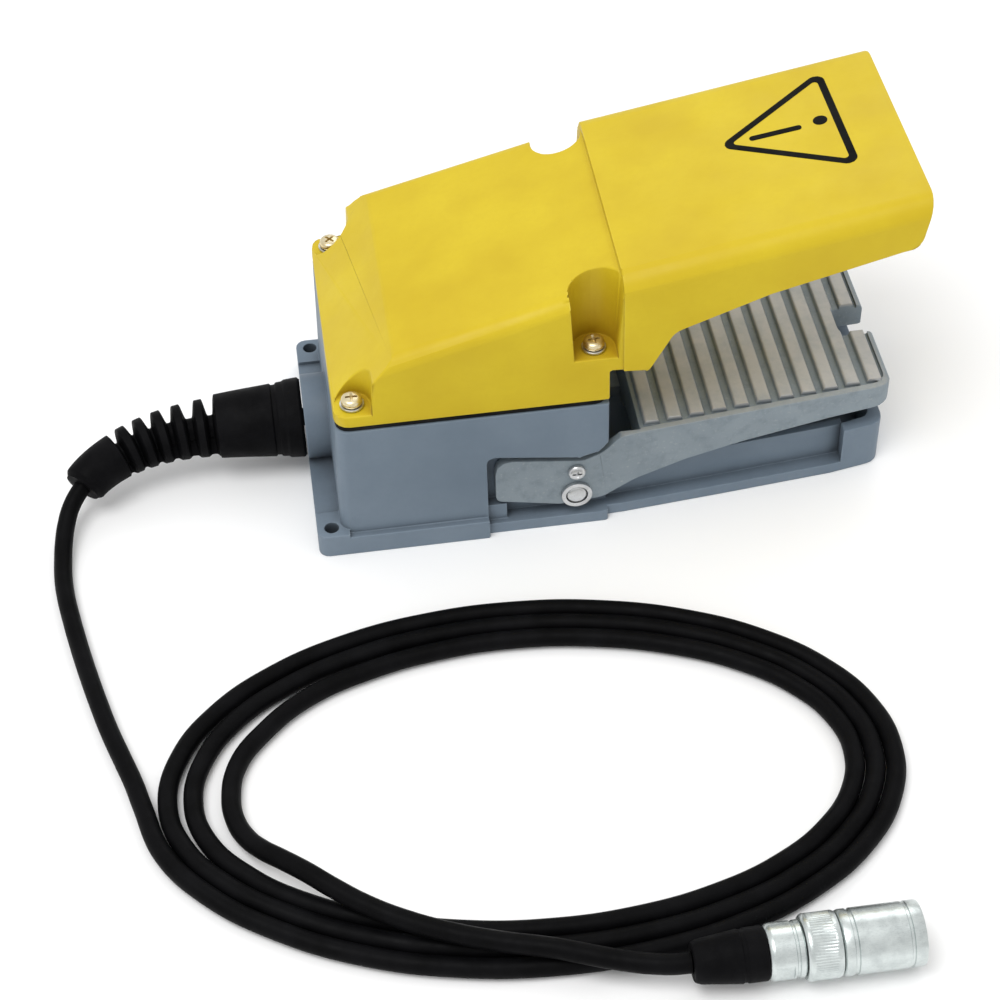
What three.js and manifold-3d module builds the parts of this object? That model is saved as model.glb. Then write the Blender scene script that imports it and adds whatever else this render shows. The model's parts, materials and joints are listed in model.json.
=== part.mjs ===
// Guarded electric foot switch: cast base box, cast guard hood, ribbed pedal on a pivot axle,
// snap-action switch, cable with a bend protector, and a round screw connector.
// Millimetres. +X points to the toe, +Z up, the origin is the centre of the base's underside.

import * as THREE from 'three';
import { mergeVertices } from 'three/addons/utils/BufferGeometryUtils.js';
import Module from 'manifold-3d';

const wasm = await Module();
wasm.setup();

// ---------- driving dimensions ----------

const GAP = 0.3; // between touching pieces
const WALL = 4; // casting wall

// Base casting.
const BASE_LENGTH = 227;
const REAR_X = -BASE_LENGTH / 2;
const TOE_X = BASE_LENGTH / 2;
const BOX_REAR_X = -103;
const BOX_FRONT_X = 0.5;
const BOX_TOP_HALF = 54;
const BOX_BOTTOM_HALF = 56;
const RIM_Z = 60.2; // top of the base's rim
const FLOOR_T = 4;
const FOOT_HALF = 58.5; // the foot flange behind and beside the box
const FOOT_Z = 9;
const EAR_Z = 10.5; // raised pads of the two ears
const EAR_INNER_Y = 44.5;
const EAR_HOLE_R = 2.75;
const EAR_HOLE_X = -107.8;
const EAR_HOLE_Y = 53.2;
const STEP_X = -46.7; // behind this the box is full width down to the floor
const ARM_WALL_HALF = 48.8; // the box's side wall beside the pedal's arms
const TRAY_EDGE = [[STEP_X, 55], [7, 52.6], [45, 49.2], [93, 44.4], [TOE_X, 40.6]]; // [x, half width]
const TRAY_T = 5;
const TRAY_WALL_Z = 20;
const TOE_BLOCK_X = 96.5;
const TOE_BLOCK_Z = 21.6;

// Hood casting.
const GASKET_T = 1.6;
const HOOD_Z = RIM_Z + 2 * GAP + GASKET_T; // underside of the hood's rim
const HOOD_DRAFT = 0.058; // side walls lean in by this much for each millimetre up
const COVER_SLOPE = 0.2754;
const COVER_REAR_TOP_Z = 84.4; // top of the rear cover at BOX_REAR_X
const GUARD_X = 5.5; // the guard starts here, one step above the rear cover
const GUARD_TOP_Z = 116.5;
const GUARD_SLOPE = 0.1875;
const GUARD_END_X = 118.5;
const GUARD_HALF = 55;
const GUARD_LOW_Z = 75; // lower edge of the guard's sides beside the box

// Screwed bosses on the floor inside the box, [x, y].
const BRACKET_BOSSES = [[-50, 20], [-28, 20]];
const EARTH_BOSS = [-86, -28];
const BOSS_Z = 8.2;

// Hood screws, [x, y, pocket floor z, pocket radius at its floor]; each stands on both sides.
const HOOD_SCREWS = [[-95.5, 47, 67.5, 7], [-4.5, 46, 82, 8.2]];
const POCKET_DRAFT = 0.055; // the pockets widen upwards
const POCKET_WALL = 3;
const SCREW_R = 2.2;
const SCREW_HEAD_R = 4;
const SCREW_HEAD_H = 2.8;
const WASHER_R = 4.6;
const WASHER_T = 1;
const SCREW_TIP_Z = 46;

// Pedal.
const PIVOT = new THREE.Vector3(-12, 0, 15);
const PEDAL_REAR_X = 13.5;
const PEDAL_TOE_X = 115.5;
const PEDAL_TOP_Z = 40; // floor of the tread, between the ribs
const RIB_H = 2.2;
const RIB_COUNT = 11;
const RIB_PITCH = 9.02;
const FIRST_RIB_X = 18.4;
const ARM_OUT = 53.7;
const ARM_T = 4.2;
const NOTCH_HALF = 8;
const NOTCH_DEPTH = 14;
const AXLE_R = 4;
const SPRING_X = 38;

// Switch.
const SWITCH_X = -37.5; // centre of the switch body
const SWITCH_Z = 38.5; // its underside
const SWITCH_SIZE = [49, 17.4, 24];
const TERMINAL_STEP = 8; // the ends of the body are this much lower, for the terminals
const TERMINAL_LENGTH = 9;
const STRIKER_X = -33; // striker bolt and plunger
const TONGUE_Z = 20;
const TONGUE_T = 5;
const TONGUE_HALF = 7;
const FLOOR_SCREW_R = 1.6;

// Cable.
const CABLE_R = 3.5;
const BOOT_Z = 21;
const CABLE_END_X = -86; // where the cable ends inside the box
const BOSS_R = 17;
const CONNECTOR_Y = -267.5;
const CONNECTOR_Z = 11.1;
const CONNECTOR_R = 11;
const SLEEVE_X = -9.5; // the connector's cable end

// Coil of spare cable, an oval lying in front of the switch's near side.
// Centre line of its outermost pass: centre, half axes, and the turn of its long axis.
const COIL = { x: -48.2, y: -178.9, a: 128.2, b: 78.3, turn: -0.058 };
const COIL_OUT = 3.7; // ring's outer edge, outside that centre line
const COIL_IN = 18.2; // ring's inner edge, inside it
const COIL_H = 7.2;

// ---------- materials ----------

function paint(color, roughness, metalness) {
  return new THREE.MeshStandardMaterial({ color, roughness, metalness });
}

const YELLOW = paint(0xe0c22e, 0.45, 0.1);
const BASE_GREY = paint(0x6f7d8c, 0.5, 0.2);
const PEDAL_GREY = paint(0x8b9494, 0.5, 0.3);
const RUBBER = paint(0x141416, 0.75, 0);
const GASKET = paint(0x1c1c1c, 0.9, 0);
const ZINC = paint(0xc9b98a, 0.35, 0.9);
const STEEL = paint(0xb4b8ba, 0.35, 0.9);
const NICKEL = paint(0xc8ccc6, 0.28, 0.95);
const PHENOLIC = paint(0x2a2422, 0.55, 0);
const BRASS = paint(0xc8a44c, 0.35, 0.9);
const BROWN_WIRE = paint(0x6b3f22, 0.6, 0);
const BLUE_WIRE = paint(0x2f5fa8, 0.6, 0);
const EARTH_WIRE = paint(0x6f9a2c, 0.6, 0);

// ---------- shape helpers ----------

// A closed three.js geometry as a solid that can be joined and cut.
function toSolid(geometry) {
  const plain = geometry.clone();
  plain.deleteAttribute('normal');
  plain.deleteAttribute('uv');
  const merged = mergeVertices(plain, 1e-4);
  const index = merged.index.array;
  const kept = [];
  for (let i = 0; i < index.length; i += 3) {
    const [a, b, c] = [index[i], index[i + 1], index[i + 2]];
    if (a !== b && b !== c && c !== a) kept.push(a, b, c);
  }
  return new wasm.Manifold(new wasm.Mesh({
    numProp: 3,
    vertProperties: new Float32Array(merged.attributes.position.array),
    triVerts: new Uint32Array(kept),
  }));
}

function toGeometry(solid) {
  const mesh = solid.getMesh();
  const geometry = new THREE.BufferGeometry();
  geometry.setAttribute('position', new THREE.BufferAttribute(mesh.vertProperties, 3));
  geometry.setIndex(new THREE.BufferAttribute(mesh.triVerts, 1));
  geometry.computeVertexNormals();
  return geometry;
}

function join(...solids) {
  return solids.reduce((whole, next) => whole.add(next));
}

// A closed outline from corners [x, y, radius], with an arc at each corner that has a radius.
function rounded(corners, steps = 4) {
  const points = [];
  const count = corners.length;
  corners.forEach(([x, y, radius], i) => {
    const corner = new THREE.Vector2(x, y);
    if (!radius) {
      points.push(corner);
      return;
    }
    const before = corners[(i + count - 1) % count];
    const after = corners[(i + 1) % count];
    const back = new THREE.Vector2(before[0], before[1]).sub(corner).normalize();
    const ahead = new THREE.Vector2(after[0], after[1]).sub(corner).normalize();
    const half = Math.acos(THREE.MathUtils.clamp(back.dot(ahead), -1, 1)) / 2;
    const inward = back.clone().add(ahead).normalize();
    const centre = corner.clone().addScaledVector(inward, radius / Math.sin(half));
    const start = corner.clone().addScaledVector(back, radius / Math.tan(half)).sub(centre);
    const end = corner.clone().addScaledVector(ahead, radius / Math.tan(half)).sub(centre);
    const sweep = Math.atan2(start.cross(end), start.dot(end));
    for (let k = 0; k <= steps; k++) {
      const spoke = start.clone().rotateAround(new THREE.Vector2(), (sweep * k) / steps);
      points.push(spoke.add(centre));
    }
  });
  return points;
}

function rectangle(x0, x1, y0, y1, radius = 0) {
  return rounded([[x0, y0, radius], [x1, y0, radius], [x1, y1, radius], [x0, y1, radius]]);
}

// A flat outline in XY, raised from z0 to z1.
function slab(outline, z0, z1) {
  const shape = new THREE.Shape(outline);
  const geometry = new THREE.ExtrudeGeometry(shape, { depth: z1 - z0, bevelEnabled: false });
  return toSolid(geometry.translate(0, 0, z0));
}

// An outline in XZ, run across from y0 to y1.
function across(outline, y0, y1) {
  const shape = new THREE.Shape(outline);
  const geometry = new THREE.ExtrudeGeometry(shape, { depth: y1 - y0, bevelEnabled: false });
  return toSolid(geometry.rotateX(Math.PI / 2).translate(0, y1, 0));
}

function block(x0, x1, y0, y1, z0, z1) {
  const geometry = new THREE.BoxGeometry(x1 - x0, y1 - y0, z1 - z0);
  return toSolid(geometry.translate((x0 + x1) / 2, (y0 + y1) / 2, (z0 + z1) / 2));
}

// The skin through a row of closed outlines with equal point counts, each placed in space.
function loft(outlines, place) {
  const count = outlines[0].length;
  const vertices = [];
  outlines.forEach((outline, i) => {
    outline.forEach((point) => vertices.push(...place(point, i).toArray()));
  });
  const faces = [];
  for (let i = 0; i + 1 < outlines.length; i++) {
    for (let k = 0; k < count; k++) {
      const next = (k + 1) % count;
      const [a, b] = [i * count + k, i * count + next];
      faces.push(a, b, b + count, a, b + count, a + count);
    }
  }
  const last = outlines.length - 1;
  THREE.ShapeUtils.triangulateShape(outlines[0], []).forEach(([a, b, c]) => faces.push(a, c, b));
  THREE.ShapeUtils.triangulateShape(outlines[last], []).forEach(([a, b, c]) => {
    faces.push(last * count + a, last * count + b, last * count + c);
  });
  const geometry = new THREE.BufferGeometry();
  geometry.setAttribute('position', new THREE.Float32BufferAttribute(vertices, 3));
  geometry.setIndex(faces);
  return toSolid(geometry);
}

// A block whose outline changes from the bottom one to the top one.
function drafted(bottom, top, z0, z1) {
  return loft([bottom, top], (p, i) => new THREE.Vector3(p.x, p.y, i ? z1 : z0));
}

function rod(radius, from, to, sides = 20) {
  const along = new THREE.Vector3().subVectors(to, from);
  const geometry = new THREE.CylinderGeometry(radius, radius, along.length(), sides);
  geometry.applyQuaternion(
    new THREE.Quaternion().setFromUnitVectors(new THREE.Vector3(0, 1, 0), along.normalize()));
  const middle = from.clone().add(to).multiplyScalar(0.5);
  return toSolid(geometry.translate(middle.x, middle.y, middle.z));
}

function post(x, y, radius, z0, z1, sides = 20) {
  return rod(radius, new THREE.Vector3(x, y, z0), new THREE.Vector3(x, y, z1), sides);
}

function crossRod(x, z, radius, y0, y1, sides = 20) {
  return rod(radius, new THREE.Vector3(x, y0, z), new THREE.Vector3(x, y1, z), sides);
}

function longRod(y, z, radius, x0, x1, sides = 24) {
  return rod(radius, new THREE.Vector3(x0, y, z), new THREE.Vector3(x1, y, z), sides);
}

// A turned piece: profile points [radius, height] about the Z axis.
function turned(profile, sides = 20) {
  const points = profile.map(([r, h]) => new THREE.Vector2(r, h));
  return toSolid(new THREE.LatheGeometry(points, sides).rotateX(Math.PI / 2));
}

// A round cable along a smooth curve, as one closed tube.
function tube(curve, radius, steps, sides = 8) {
  const section = new THREE.Shape();
  for (let k = 0; k < sides; k++) {
    const angle = (2 * Math.PI * k) / sides;
    const point = [radius * Math.cos(angle), radius * Math.sin(angle)];
    if (k) section.lineTo(...point);
    else section.moveTo(...point);
  }
  return new THREE.ExtrudeGeometry(section, { steps, extrudePath: curve, bevelEnabled: false });
}

function smoothCurve(points) {
  const list = points.map((p) => new THREE.Vector3(...p));
  return new THREE.CatmullRomCurve3(list, false, 'centripetal');
}

// An outline mirrored about the X axis, from [x, half width, radius] listed rear to toe.
function mirrored(half, steps = 4) {
  const near = half.map(([x, w, r]) => [x, -w, r]);
  const far = half.map(([x, w, r]) => [x, w, r]).reverse();
  return rounded([...near, ...far], steps);
}

function bothSides(make) {
  return join(make(-1), make(1));
}

// ---------- base casting ----------

function trayOutline(inset, toeRadius, frontX = TOE_X) {
  const half = TRAY_EDGE.map(([x, w]) => [Math.min(x, frontX), w - inset, 0]);
  half[half.length - 1][2] = toeRadius;
  return mirrored(half);
}

function boxShell() {
  const bottom = rounded([
    [BOX_REAR_X - 1.5, -BOX_BOTTOM_HALF, 5], [BOX_FRONT_X, -BOX_BOTTOM_HALF, 1.5],
    [BOX_FRONT_X, BOX_BOTTOM_HALF, 1.5], [BOX_REAR_X - 1.5, BOX_BOTTOM_HALF, 5]]);
  const top = rounded([
    [BOX_REAR_X, -BOX_TOP_HALF, 5], [BOX_FRONT_X, -BOX_TOP_HALF, 1.5],
    [BOX_FRONT_X, BOX_TOP_HALF, 1.5], [BOX_REAR_X, BOX_TOP_HALF, 5]]);
  return drafted(bottom, top, 0, RIM_Z);
}

// The space beside the box where a pedal arm lies and swings.
function armRecess(side) {
  const outline = rounded([
    [STEP_X, TRAY_T, 0], [6, TRAY_T, 0], [6, 50, 0], [2, 42.5, 0], [-4, 36.5, 3], [-11, 34.6, 3],
    [STEP_X, 39.6, 3]]);
  const [y0, y1] = side < 0 ? [-70, -ARM_WALL_HALF] : [ARM_WALL_HALF, 70];
  return across(outline, y0, y1);
}

// The ledge that the arm's rear end rests on.
function armLedge(side) {
  const [y0, y1] = side < 0 ? [-53.4, -ARM_WALL_HALF + 1] : [ARM_WALL_HALF - 1, 53.4];
  return block(STEP_X - 1, -39.2, y0, y1, 1, 12.8);
}

function boxCavity() {
  const inner = ARM_WALL_HALF - 4.3;
  const upper = BOX_TOP_HALF - WALL;
  const rear = BOX_REAR_X + WALL;
  const front = BOX_FRONT_X - WALL;
  return join(
    slab(rectangle(rear, front, -inner, inner, 3), FLOOR_T, RIM_Z + 1),
    slab(rectangle(rear, STEP_X - WALL, -upper, upper, 3), FLOOR_T, RIM_Z + 1),
    slab(rectangle(rear, front, -upper, upper, 3), 44, RIM_Z + 1),
  );
}

function screwPillar([x, y], side) {
  const outward = side * (y + 6);
  const [y0, y1] = side < 0 ? [outward, -y] : [y, outward];
  const low = 43.5;
  const pillar = join(post(x, side * y, 6.5, low, RIM_Z), block(x - 4, x + 4, y0, y1, low, RIM_Z));
  return pillar.intersect(boxShell());
}

// The flange that the box stands on, with a raised pad for each floor screw.
function footFlange() {
  const outline = (x1) => rounded([
    [REAR_X, -FOOT_HALF, 4], [x1, -FOOT_HALF, 0], [x1, FOOT_HALF, 0], [REAR_X, FOOT_HALF, 4]]);
  const pads = slab(outline(BOX_REAR_X + 2), 1, EAR_Z).subtract(
    block(REAR_X - 1, BOX_REAR_X + 3, -EAR_INNER_Y, EAR_INNER_Y, 0, EAR_Z + 1));
  return join(slab(outline(STEP_X), 0, FOOT_Z), pads);
}

function toeBlock() {
  const outer = slab(trayOutline(0, 7), 0, TOE_BLOCK_Z);
  const inner = slab(trayOutline(5, 4, TOE_X - 5), TRAY_T, TOE_BLOCK_Z + 1);
  const reach = block(TOE_BLOCK_X, TOE_X + 1, -60, 60, 0, TOE_BLOCK_Z + 1);
  return outer.subtract(inner).intersect(reach);
}

function trayWalls() {
  const outer = slab(trayOutline(6.3, 0), 1, TRAY_WALL_Z);
  const inner = slab(trayOutline(9.8, 0, TOE_X), 0, TRAY_WALL_Z + 1);
  const reach = block(BOX_FRONT_X - 2, TOE_BLOCK_X + 1, -60, 60, 0, TRAY_WALL_Z + 1);
  return outer.subtract(inner).intersect(reach);
}

function baseCasting() {
  const recesses = bothSides(armRecess);
  const frontHole = block(BOX_FRONT_X - WALL - 1, BOX_FRONT_X + 1, -16, 16, 15, 34);
  const shell = boxShell().subtract(boxCavity()).subtract(recesses);
  const boss = longRod(0, BOOT_Z, BOSS_R, REAR_X, BOX_REAR_X + 1, 28);
  const tray = slab(trayOutline(0, 7), 0, TRAY_T);
  const springSeat = post(SPRING_X, 0, 4.6, TRAY_T - 1, 10);
  const flange = footFlange().subtract(boxCavity());
  let casting = join(shell, flange, boss, tray, trayWalls(), toeBlock(), springSeat);
  casting = casting.add(bothSides(armLedge));
  for (const [x, y] of HOOD_SCREWS) {
    const hole = (side) => post(x, side * y, SCREW_R + GAP, SCREW_TIP_Z - 0.6, RIM_Z + 1, 16);
    casting = casting.add(bothSides((side) => screwPillar([x, y], side)));
    casting = casting.subtract(bothSides(hole));
  }
  for (const [x, y] of [...BRACKET_BOSSES, EARTH_BOSS]) {
    casting = casting.add(post(x, y, 4.5, 3, BOSS_Z));
    casting = casting.subtract(post(x, y, FLOOR_SCREW_R + GAP, 1.6, BOSS_Z + 1, 12));
  }
  const earHoles = bothSides((side) => post(EAR_HOLE_X, side * EAR_HOLE_Y, EAR_HOLE_R, -1, EAR_Z + 1));
  const glandHole = longRod(0, BOOT_Z, 8.3, REAR_X - 1, BOX_REAR_X + WALL + 1);
  const axleHole = crossRod(PIVOT.x, PIVOT.z, AXLE_R + GAP, -60, 60);
  return casting.subtract(earHoles).subtract(glandHole).subtract(axleHole).subtract(frontHole);
}

// ---------- hood casting ----------

// Cross-section of the hood: side walls leaning in, top edges rounded.
function hoodSection(halfAtRim, topZ, radius, inset, lowZ) {
  const lean = (z) => halfAtRim - (z - HOOD_Z) * HOOD_DRAFT - inset;
  const top = topZ - inset;
  const r = Math.max(radius - inset, 1);
  return rounded([
    [-lean(lowZ), lowZ, 0], [lean(lowZ), lowZ, 0], [lean(top), top, r], [-lean(top), top, r]], 5);
}

function hoodRun(sections) {
  return loft(sections.map((s) => s.outline), (p, i) => new THREE.Vector3(sections[i].x, p.x, p.y));
}

function coverTop(x) {
  return COVER_REAR_TOP_Z + (x - BOX_REAR_X) * COVER_SLOPE;
}

function guardTop(x) {
  return GUARD_TOP_Z + (x - GUARD_X) * GUARD_SLOPE;
}

function coverRun(x0, x1, inset, lowZ) {
  const section = (x) => hoodSection(BOX_TOP_HALF, coverTop(x), 6, inset, lowZ);
  return hoodRun([x0, x1].map((x) => ({ x, outline: section(x) })));
}

function guardRun(x0, x1, inset, lowZ) {
  const section = (x) => hoodSection(GUARD_HALF, guardTop(x), 8, inset, lowZ);
  return hoodRun([x0, x1].map((x) => ({ x, outline: section(x) })));
}

// Everything in front of and under the guard's edge, seen from the side.
function guardCut() {
  const low = rounded([
    [BOX_FRONT_X, 50, 0], [BOX_FRONT_X, GUARD_LOW_Z + 1, 1], [15.2, GUARD_LOW_Z, 3], [24.6, 91.3, 8],
    [59.5, 104, 0], [114.6, 118.3, 7], [GUARD_END_X, 138.5, 0], [140, 138.5, 0], [140, 50, 0]], 5);
  return across(low, -80, 80);
}

// The corner taken off the cover's rear top edge.
function rearSlope(inset) {
  const topX = -79;
  const slope = [
    [BOX_REAR_X - 8, 58.4, 0], [topX, coverTop(topX), 5], [-60, coverTop(-60), 0], [-60, 130, 0],
    [BOX_REAR_X - 8, 130, 0]];
  return across(rounded(slope), -80, 80).translate([0, 0, -inset]);
}

// The space above a hood screw, open to the side of the hood and widening upwards.
function screwPocket([x, y, floorZ, floorR], side, grow) {
  const topZ = 160;
  const inner = (r) => side * (y - r);
  const outline = (r) => rounded([
    [x - r, inner(r), r * 0.98], [x + r, inner(r), r * 0.98], [x + r, side * 90, 0], [x - r, side * 90, 0],
  ], 8);
  const z0 = grow ? HOOD_Z : floorZ;
  const radiusAt = (z) => floorR + (z - floorZ) * POCKET_DRAFT + grow;
  const [bottom, top] = [outline(radiusAt(z0)), outline(radiusAt(topZ))];
  return side < 0 ? drafted(bottom.reverse(), top.reverse(), z0, topZ) : drafted(bottom, top, z0, topZ);
}

function hoodCasting() {
  const rearCorners = drafted(
    rectangle(BOX_REAR_X, 60, -BOX_TOP_HALF, BOX_TOP_HALF, 6),
    rectangle(BOX_REAR_X + 2.4, 60, -BOX_TOP_HALF, BOX_TOP_HALF, 6), HOOD_Z, 125);
  const coverBlock = coverRun(BOX_REAR_X - 5, GUARD_X + 1, 0, HOOD_Z);
  const cover = coverBlock.intersect(rearCorners).subtract(rearSlope(0));
  const frontCorners = slab(rectangle(-20, GUARD_END_X, -GUARD_HALF, GUARD_HALF, 8), 40, 160);
  const guard = guardRun(GUARD_X, GUARD_END_X + 2, 0, HOOD_Z).intersect(frontCorners);
  const outer = join(cover, guard);
  const lowZ = HOOD_Z - 2;
  const room = coverRun(BOX_REAR_X + WALL, BOX_FRONT_X - WALL, WALL, lowZ).subtract(rearSlope(1.5 * WALL));
  const toeward = block(GUARD_X + WALL - 1, 150, -70, 70, 40, 160);
  const footRoom = guardRun(BOX_FRONT_X, GUARD_END_X + 9, WALL, lowZ).intersect(toeward);
  const footRear = coverRun(BOX_FRONT_X, GUARD_X + 1, WALL, lowZ);
  let hood = outer.subtract(room).subtract(footRoom).subtract(footRear);
  for (const screw of HOOD_SCREWS) {
    const [x, y] = screw;
    hood = hood.add(bothSides((side) => screwPocket(screw, side, POCKET_WALL)).intersect(outer));
    hood = hood.subtract(bothSides((side) => screwPocket(screw, side, 0)));
    hood = hood.subtract(bothSides((side) => post(x, side * y, SCREW_R + GAP, 50, 100, 16)));
  }
  return hood.subtract(guardCut());
}

function hoodGasket() {
  const ringOutline = (inset, radius) => rectangle(
    BOX_REAR_X + inset, BOX_FRONT_X - inset, -BOX_TOP_HALF + inset, BOX_TOP_HALF - inset, radius);
  const outer = ringOutline(0.5, 5);
  const inner = ringOutline(WALL, 3);
  const z0 = RIM_Z + GAP;
  const z1 = z0 + GASKET_T;
  let ring = slab(outer, z0, z1).subtract(slab(inner, z0 - 1, z1 + 1));
  for (const [x, y] of HOOD_SCREWS) {
    const eyes = bothSides((side) => post(x, side * y, 6, z0, z1)).intersect(slab(outer, z0, z1));
    const holes = bothSides((side) => post(x, side * y, SCREW_R + GAP, z0 - 1, z1 + 1, 16));
    ring = ring.add(eyes).subtract(holes);
  }
  return ring;
}

// Pan-head screw standing on z, head up.
function panScrew(shankR, headR, headH, length) {
  return turned([[0, -length], [shankR, -length], [shankR, 0], [headR, 0], [headR, headH * 0.55],
    [headR * 0.8, headH * 0.9], [0, headH]], 18);
}

function washer(innerR, outerR, t) {
  return turned([[innerR, 0], [outerR, 0], [outerR, t], [innerR, t], [innerR, 0]], 20);
}

// ---------- pedal ----------

// Half width of the pedal, straight from its rear edge to its toe.
function pedalHalf(x) {
  return 51.3 - (x - PEDAL_REAR_X) * 0.107;
}

function pedalOutline(inset, toeRadius) {
  return mirrored([
    [-60, ARM_OUT - inset, 0], [0, ARM_OUT - inset, 0], [PEDAL_REAR_X, pedalHalf(PEDAL_REAR_X) - inset, 0],
    [PEDAL_TOE_X - inset, pedalHalf(PEDAL_TOE_X) - inset, toeRadius]], 5);
}

function notchOutline(grow) {
  const half = NOTCH_HALF + grow;
  return rectangle(PEDAL_TOE_X - NOTCH_DEPTH - grow, PEDAL_TOE_X + 10, -half, half, 2.5);
}

// The pedal seen from the side: arm to the left, skirt with a rising lower edge to the right.
function pedalSide() {
  return rounded([
    [-43.5, 14.6, 3], [-37, 13.5, 4], [-18, 9.4, 12], [-2.5, 10.8, 12], [10, 16.2, 20], [31.5, 22, 30],
    [51.5, 25.3, 30], [90, 29.4, 0], [PEDAL_TOE_X, 31, 1.5], [PEDAL_TOE_X, PEDAL_TOP_Z + 1.2, 2.5],
    [5.5, PEDAL_TOP_Z + 1.2, 3], [-2.8, 34.4, 5], [-9, 31.6, 6], [-43.5, 36, 6]], 3);
}

function treadRibs() {
  const ribs = [];
  const bottom = PEDAL_TOP_Z - 0.5;
  const top = PEDAL_TOP_Z + RIB_H;
  for (let i = 0; i < RIB_COUNT; i++) {
    const x = FIRST_RIB_X + i * RIB_PITCH;
    const side = rounded([
      [x - 3.3, bottom, 0], [x + 3.3, bottom, 0], [x + 2.6, top, 0.7], [x - 2.6, top, 0.7]], 3);
    const half = pedalHalf(x) - 4;
    ribs.push(across(side, -half, half));
  }
  return join(...ribs);
}

function pedalCasting() {
  const sides = across(pedalSide(), -60, 60);
  const outer = slab(pedalOutline(0, 8), 0, 60);
  const hollow = slab(pedalOutline(ARM_T, 5), -1, PEDAL_TOP_Z - WALL).subtract(
    slab(notchOutline(ARM_T), -2, 60));
  const behind = block(-70, PEDAL_REAR_X, -ARM_OUT + ARM_T, ARM_OUT - ARM_T, -5, 70);
  const tread = slab(pedalOutline(2.6, 6), PEDAL_TOP_Z, 60).intersect(
    block(PEDAL_REAR_X - 1, 130, -60, 60, 0, 70));
  let pedal = sides.intersect(outer).subtract(hollow).subtract(behind).subtract(tread);
  const rearWall = join(
    block(PEDAL_REAR_X, PEDAL_REAR_X + WALL, -48, 48, 24, PEDAL_TOP_Z - 1),
    block(PEDAL_REAR_X, PEDAL_REAR_X + WALL, -14, 14, TONGUE_Z, 25));
  const tongueTop = TONGUE_Z + TONGUE_T;
  const tongue = block(STRIKER_X - 7, PEDAL_REAR_X + 2, -TONGUE_HALF, TONGUE_HALF, TONGUE_Z, tongueTop);
  const spigot = post(SPRING_X, 0, 4.4, 31.5, PEDAL_TOP_Z - WALL + 1);
  const spine = block(PEDAL_REAR_X + 2, 98, -2, 2, 30, PEDAL_TOP_Z - WALL + 1);
  const springRoom = post(SPRING_X, 0, 9, 20, 36);
  pedal = join(pedal, rearWall, tongue, spigot, spine.subtract(springRoom), treadRibs());
  pedal = pedal.subtract(slab(notchOutline(0), 0, 70));
  const pivotHole = crossRod(PIVOT.x, PIVOT.z, AXLE_R + GAP, -60, 60);
  const stopHole = crossRod(PIVOT.x, PIVOT.z + 12, 1.5 + GAP, -60, 60, 12);
  const strikerHole = post(STRIKER_X, 0, 3 + GAP, 10, 30, 16);
  return pedal.subtract(pivotHole).subtract(stopHole).subtract(strikerHole);
}

// The axle with a turned end on each side, held in the base.
function pivotAxle() {
  const end = ARM_OUT + 1.8;
  return crossRod(PIVOT.x, PIVOT.z, AXLE_R, -end, end);
}

function axleCap(side) {
  const cap = turned([
    [AXLE_R + GAP, 0], [6, 0], [6, 1], [5, 1.5], [AXLE_R + GAP, 1.5], [AXLE_R + GAP, 0]], 20);
  return cap.rotate([side < 0 ? 90 : -90, 0, 0]).translate([PIVOT.x, side * (ARM_OUT + GAP), PIVOT.z]);
}

function stopScrew(side) {
  const tip = -ARM_T + 0.2;
  const screw = turned([[0, tip], [1.5, tip], [1.5, 0], [3.4, 0], [3.4, 1.4], [2.4, 2.1], [0, 2.2]], 16);
  const position = [PIVOT.x, side * (ARM_OUT + GAP), PIVOT.z + 12];
  return screw.rotate([side < 0 ? 90 : -90, 0, 0]).translate(position);
}

function returnSpring() {
  const turns = 5.5;
  const coilR = 6.6;
  const wireR = 0.8;
  const z0 = TRAY_T + GAP + wireR;
  const z1 = PEDAL_TOP_Z - WALL - GAP - wireR;
  class Helix extends THREE.Curve {
    getPoint(t, target = new THREE.Vector3()) {
      const angle = 2 * Math.PI * turns * t;
      return target.set(SPRING_X + coilR * Math.cos(angle), coilR * Math.sin(angle), z0 + (z1 - z0) * t);
    }
  }
  return tube(new Helix(), wireR, 88, 6);
}

// ---------- switch ----------

function switchCase() {
  const [length, width, height] = SWITCH_SIZE;
  const x0 = SWITCH_X - length / 2;
  const x1 = SWITCH_X + length / 2;
  const z1 = SWITCH_Z + height;
  const body = across(rectangle(x0, x1, SWITCH_Z, z1, 1.5), -width / 2, width / 2);
  const stepZ = z1 - TERMINAL_STEP;
  const notches = join(
    block(x0 - 1, x0 + TERMINAL_LENGTH, -10, 10, stepZ, z1 + 1),
    block(x1 - TERMINAL_LENGTH, x1 + 1, -10, 10, stepZ, z1 + 1));
  const holes = join(
    crossRod(SWITCH_X - 12.7, SWITCH_Z + 5, 2.1 + GAP, -12, 12, 16),
    crossRod(SWITCH_X + 12.7, SWITCH_Z + 5, 2.1 + GAP, -12, 12, 16));
  const plungerHole = post(STRIKER_X, 0, 2.4 + GAP, SWITCH_Z - 1, SWITCH_Z + 10, 16);
  return body.subtract(notches).subtract(holes).subtract(plungerHole);
}

function switchPlunger() {
  const tip = SWITCH_Z - 5.2;
  return turned([[0, tip], [1.4, tip], [2.4, tip + 1], [2.4, SWITCH_Z + 6], [0, SWITCH_Z + 6]], 16)
    .translate([STRIKER_X, 0, 0]);
}

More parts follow.
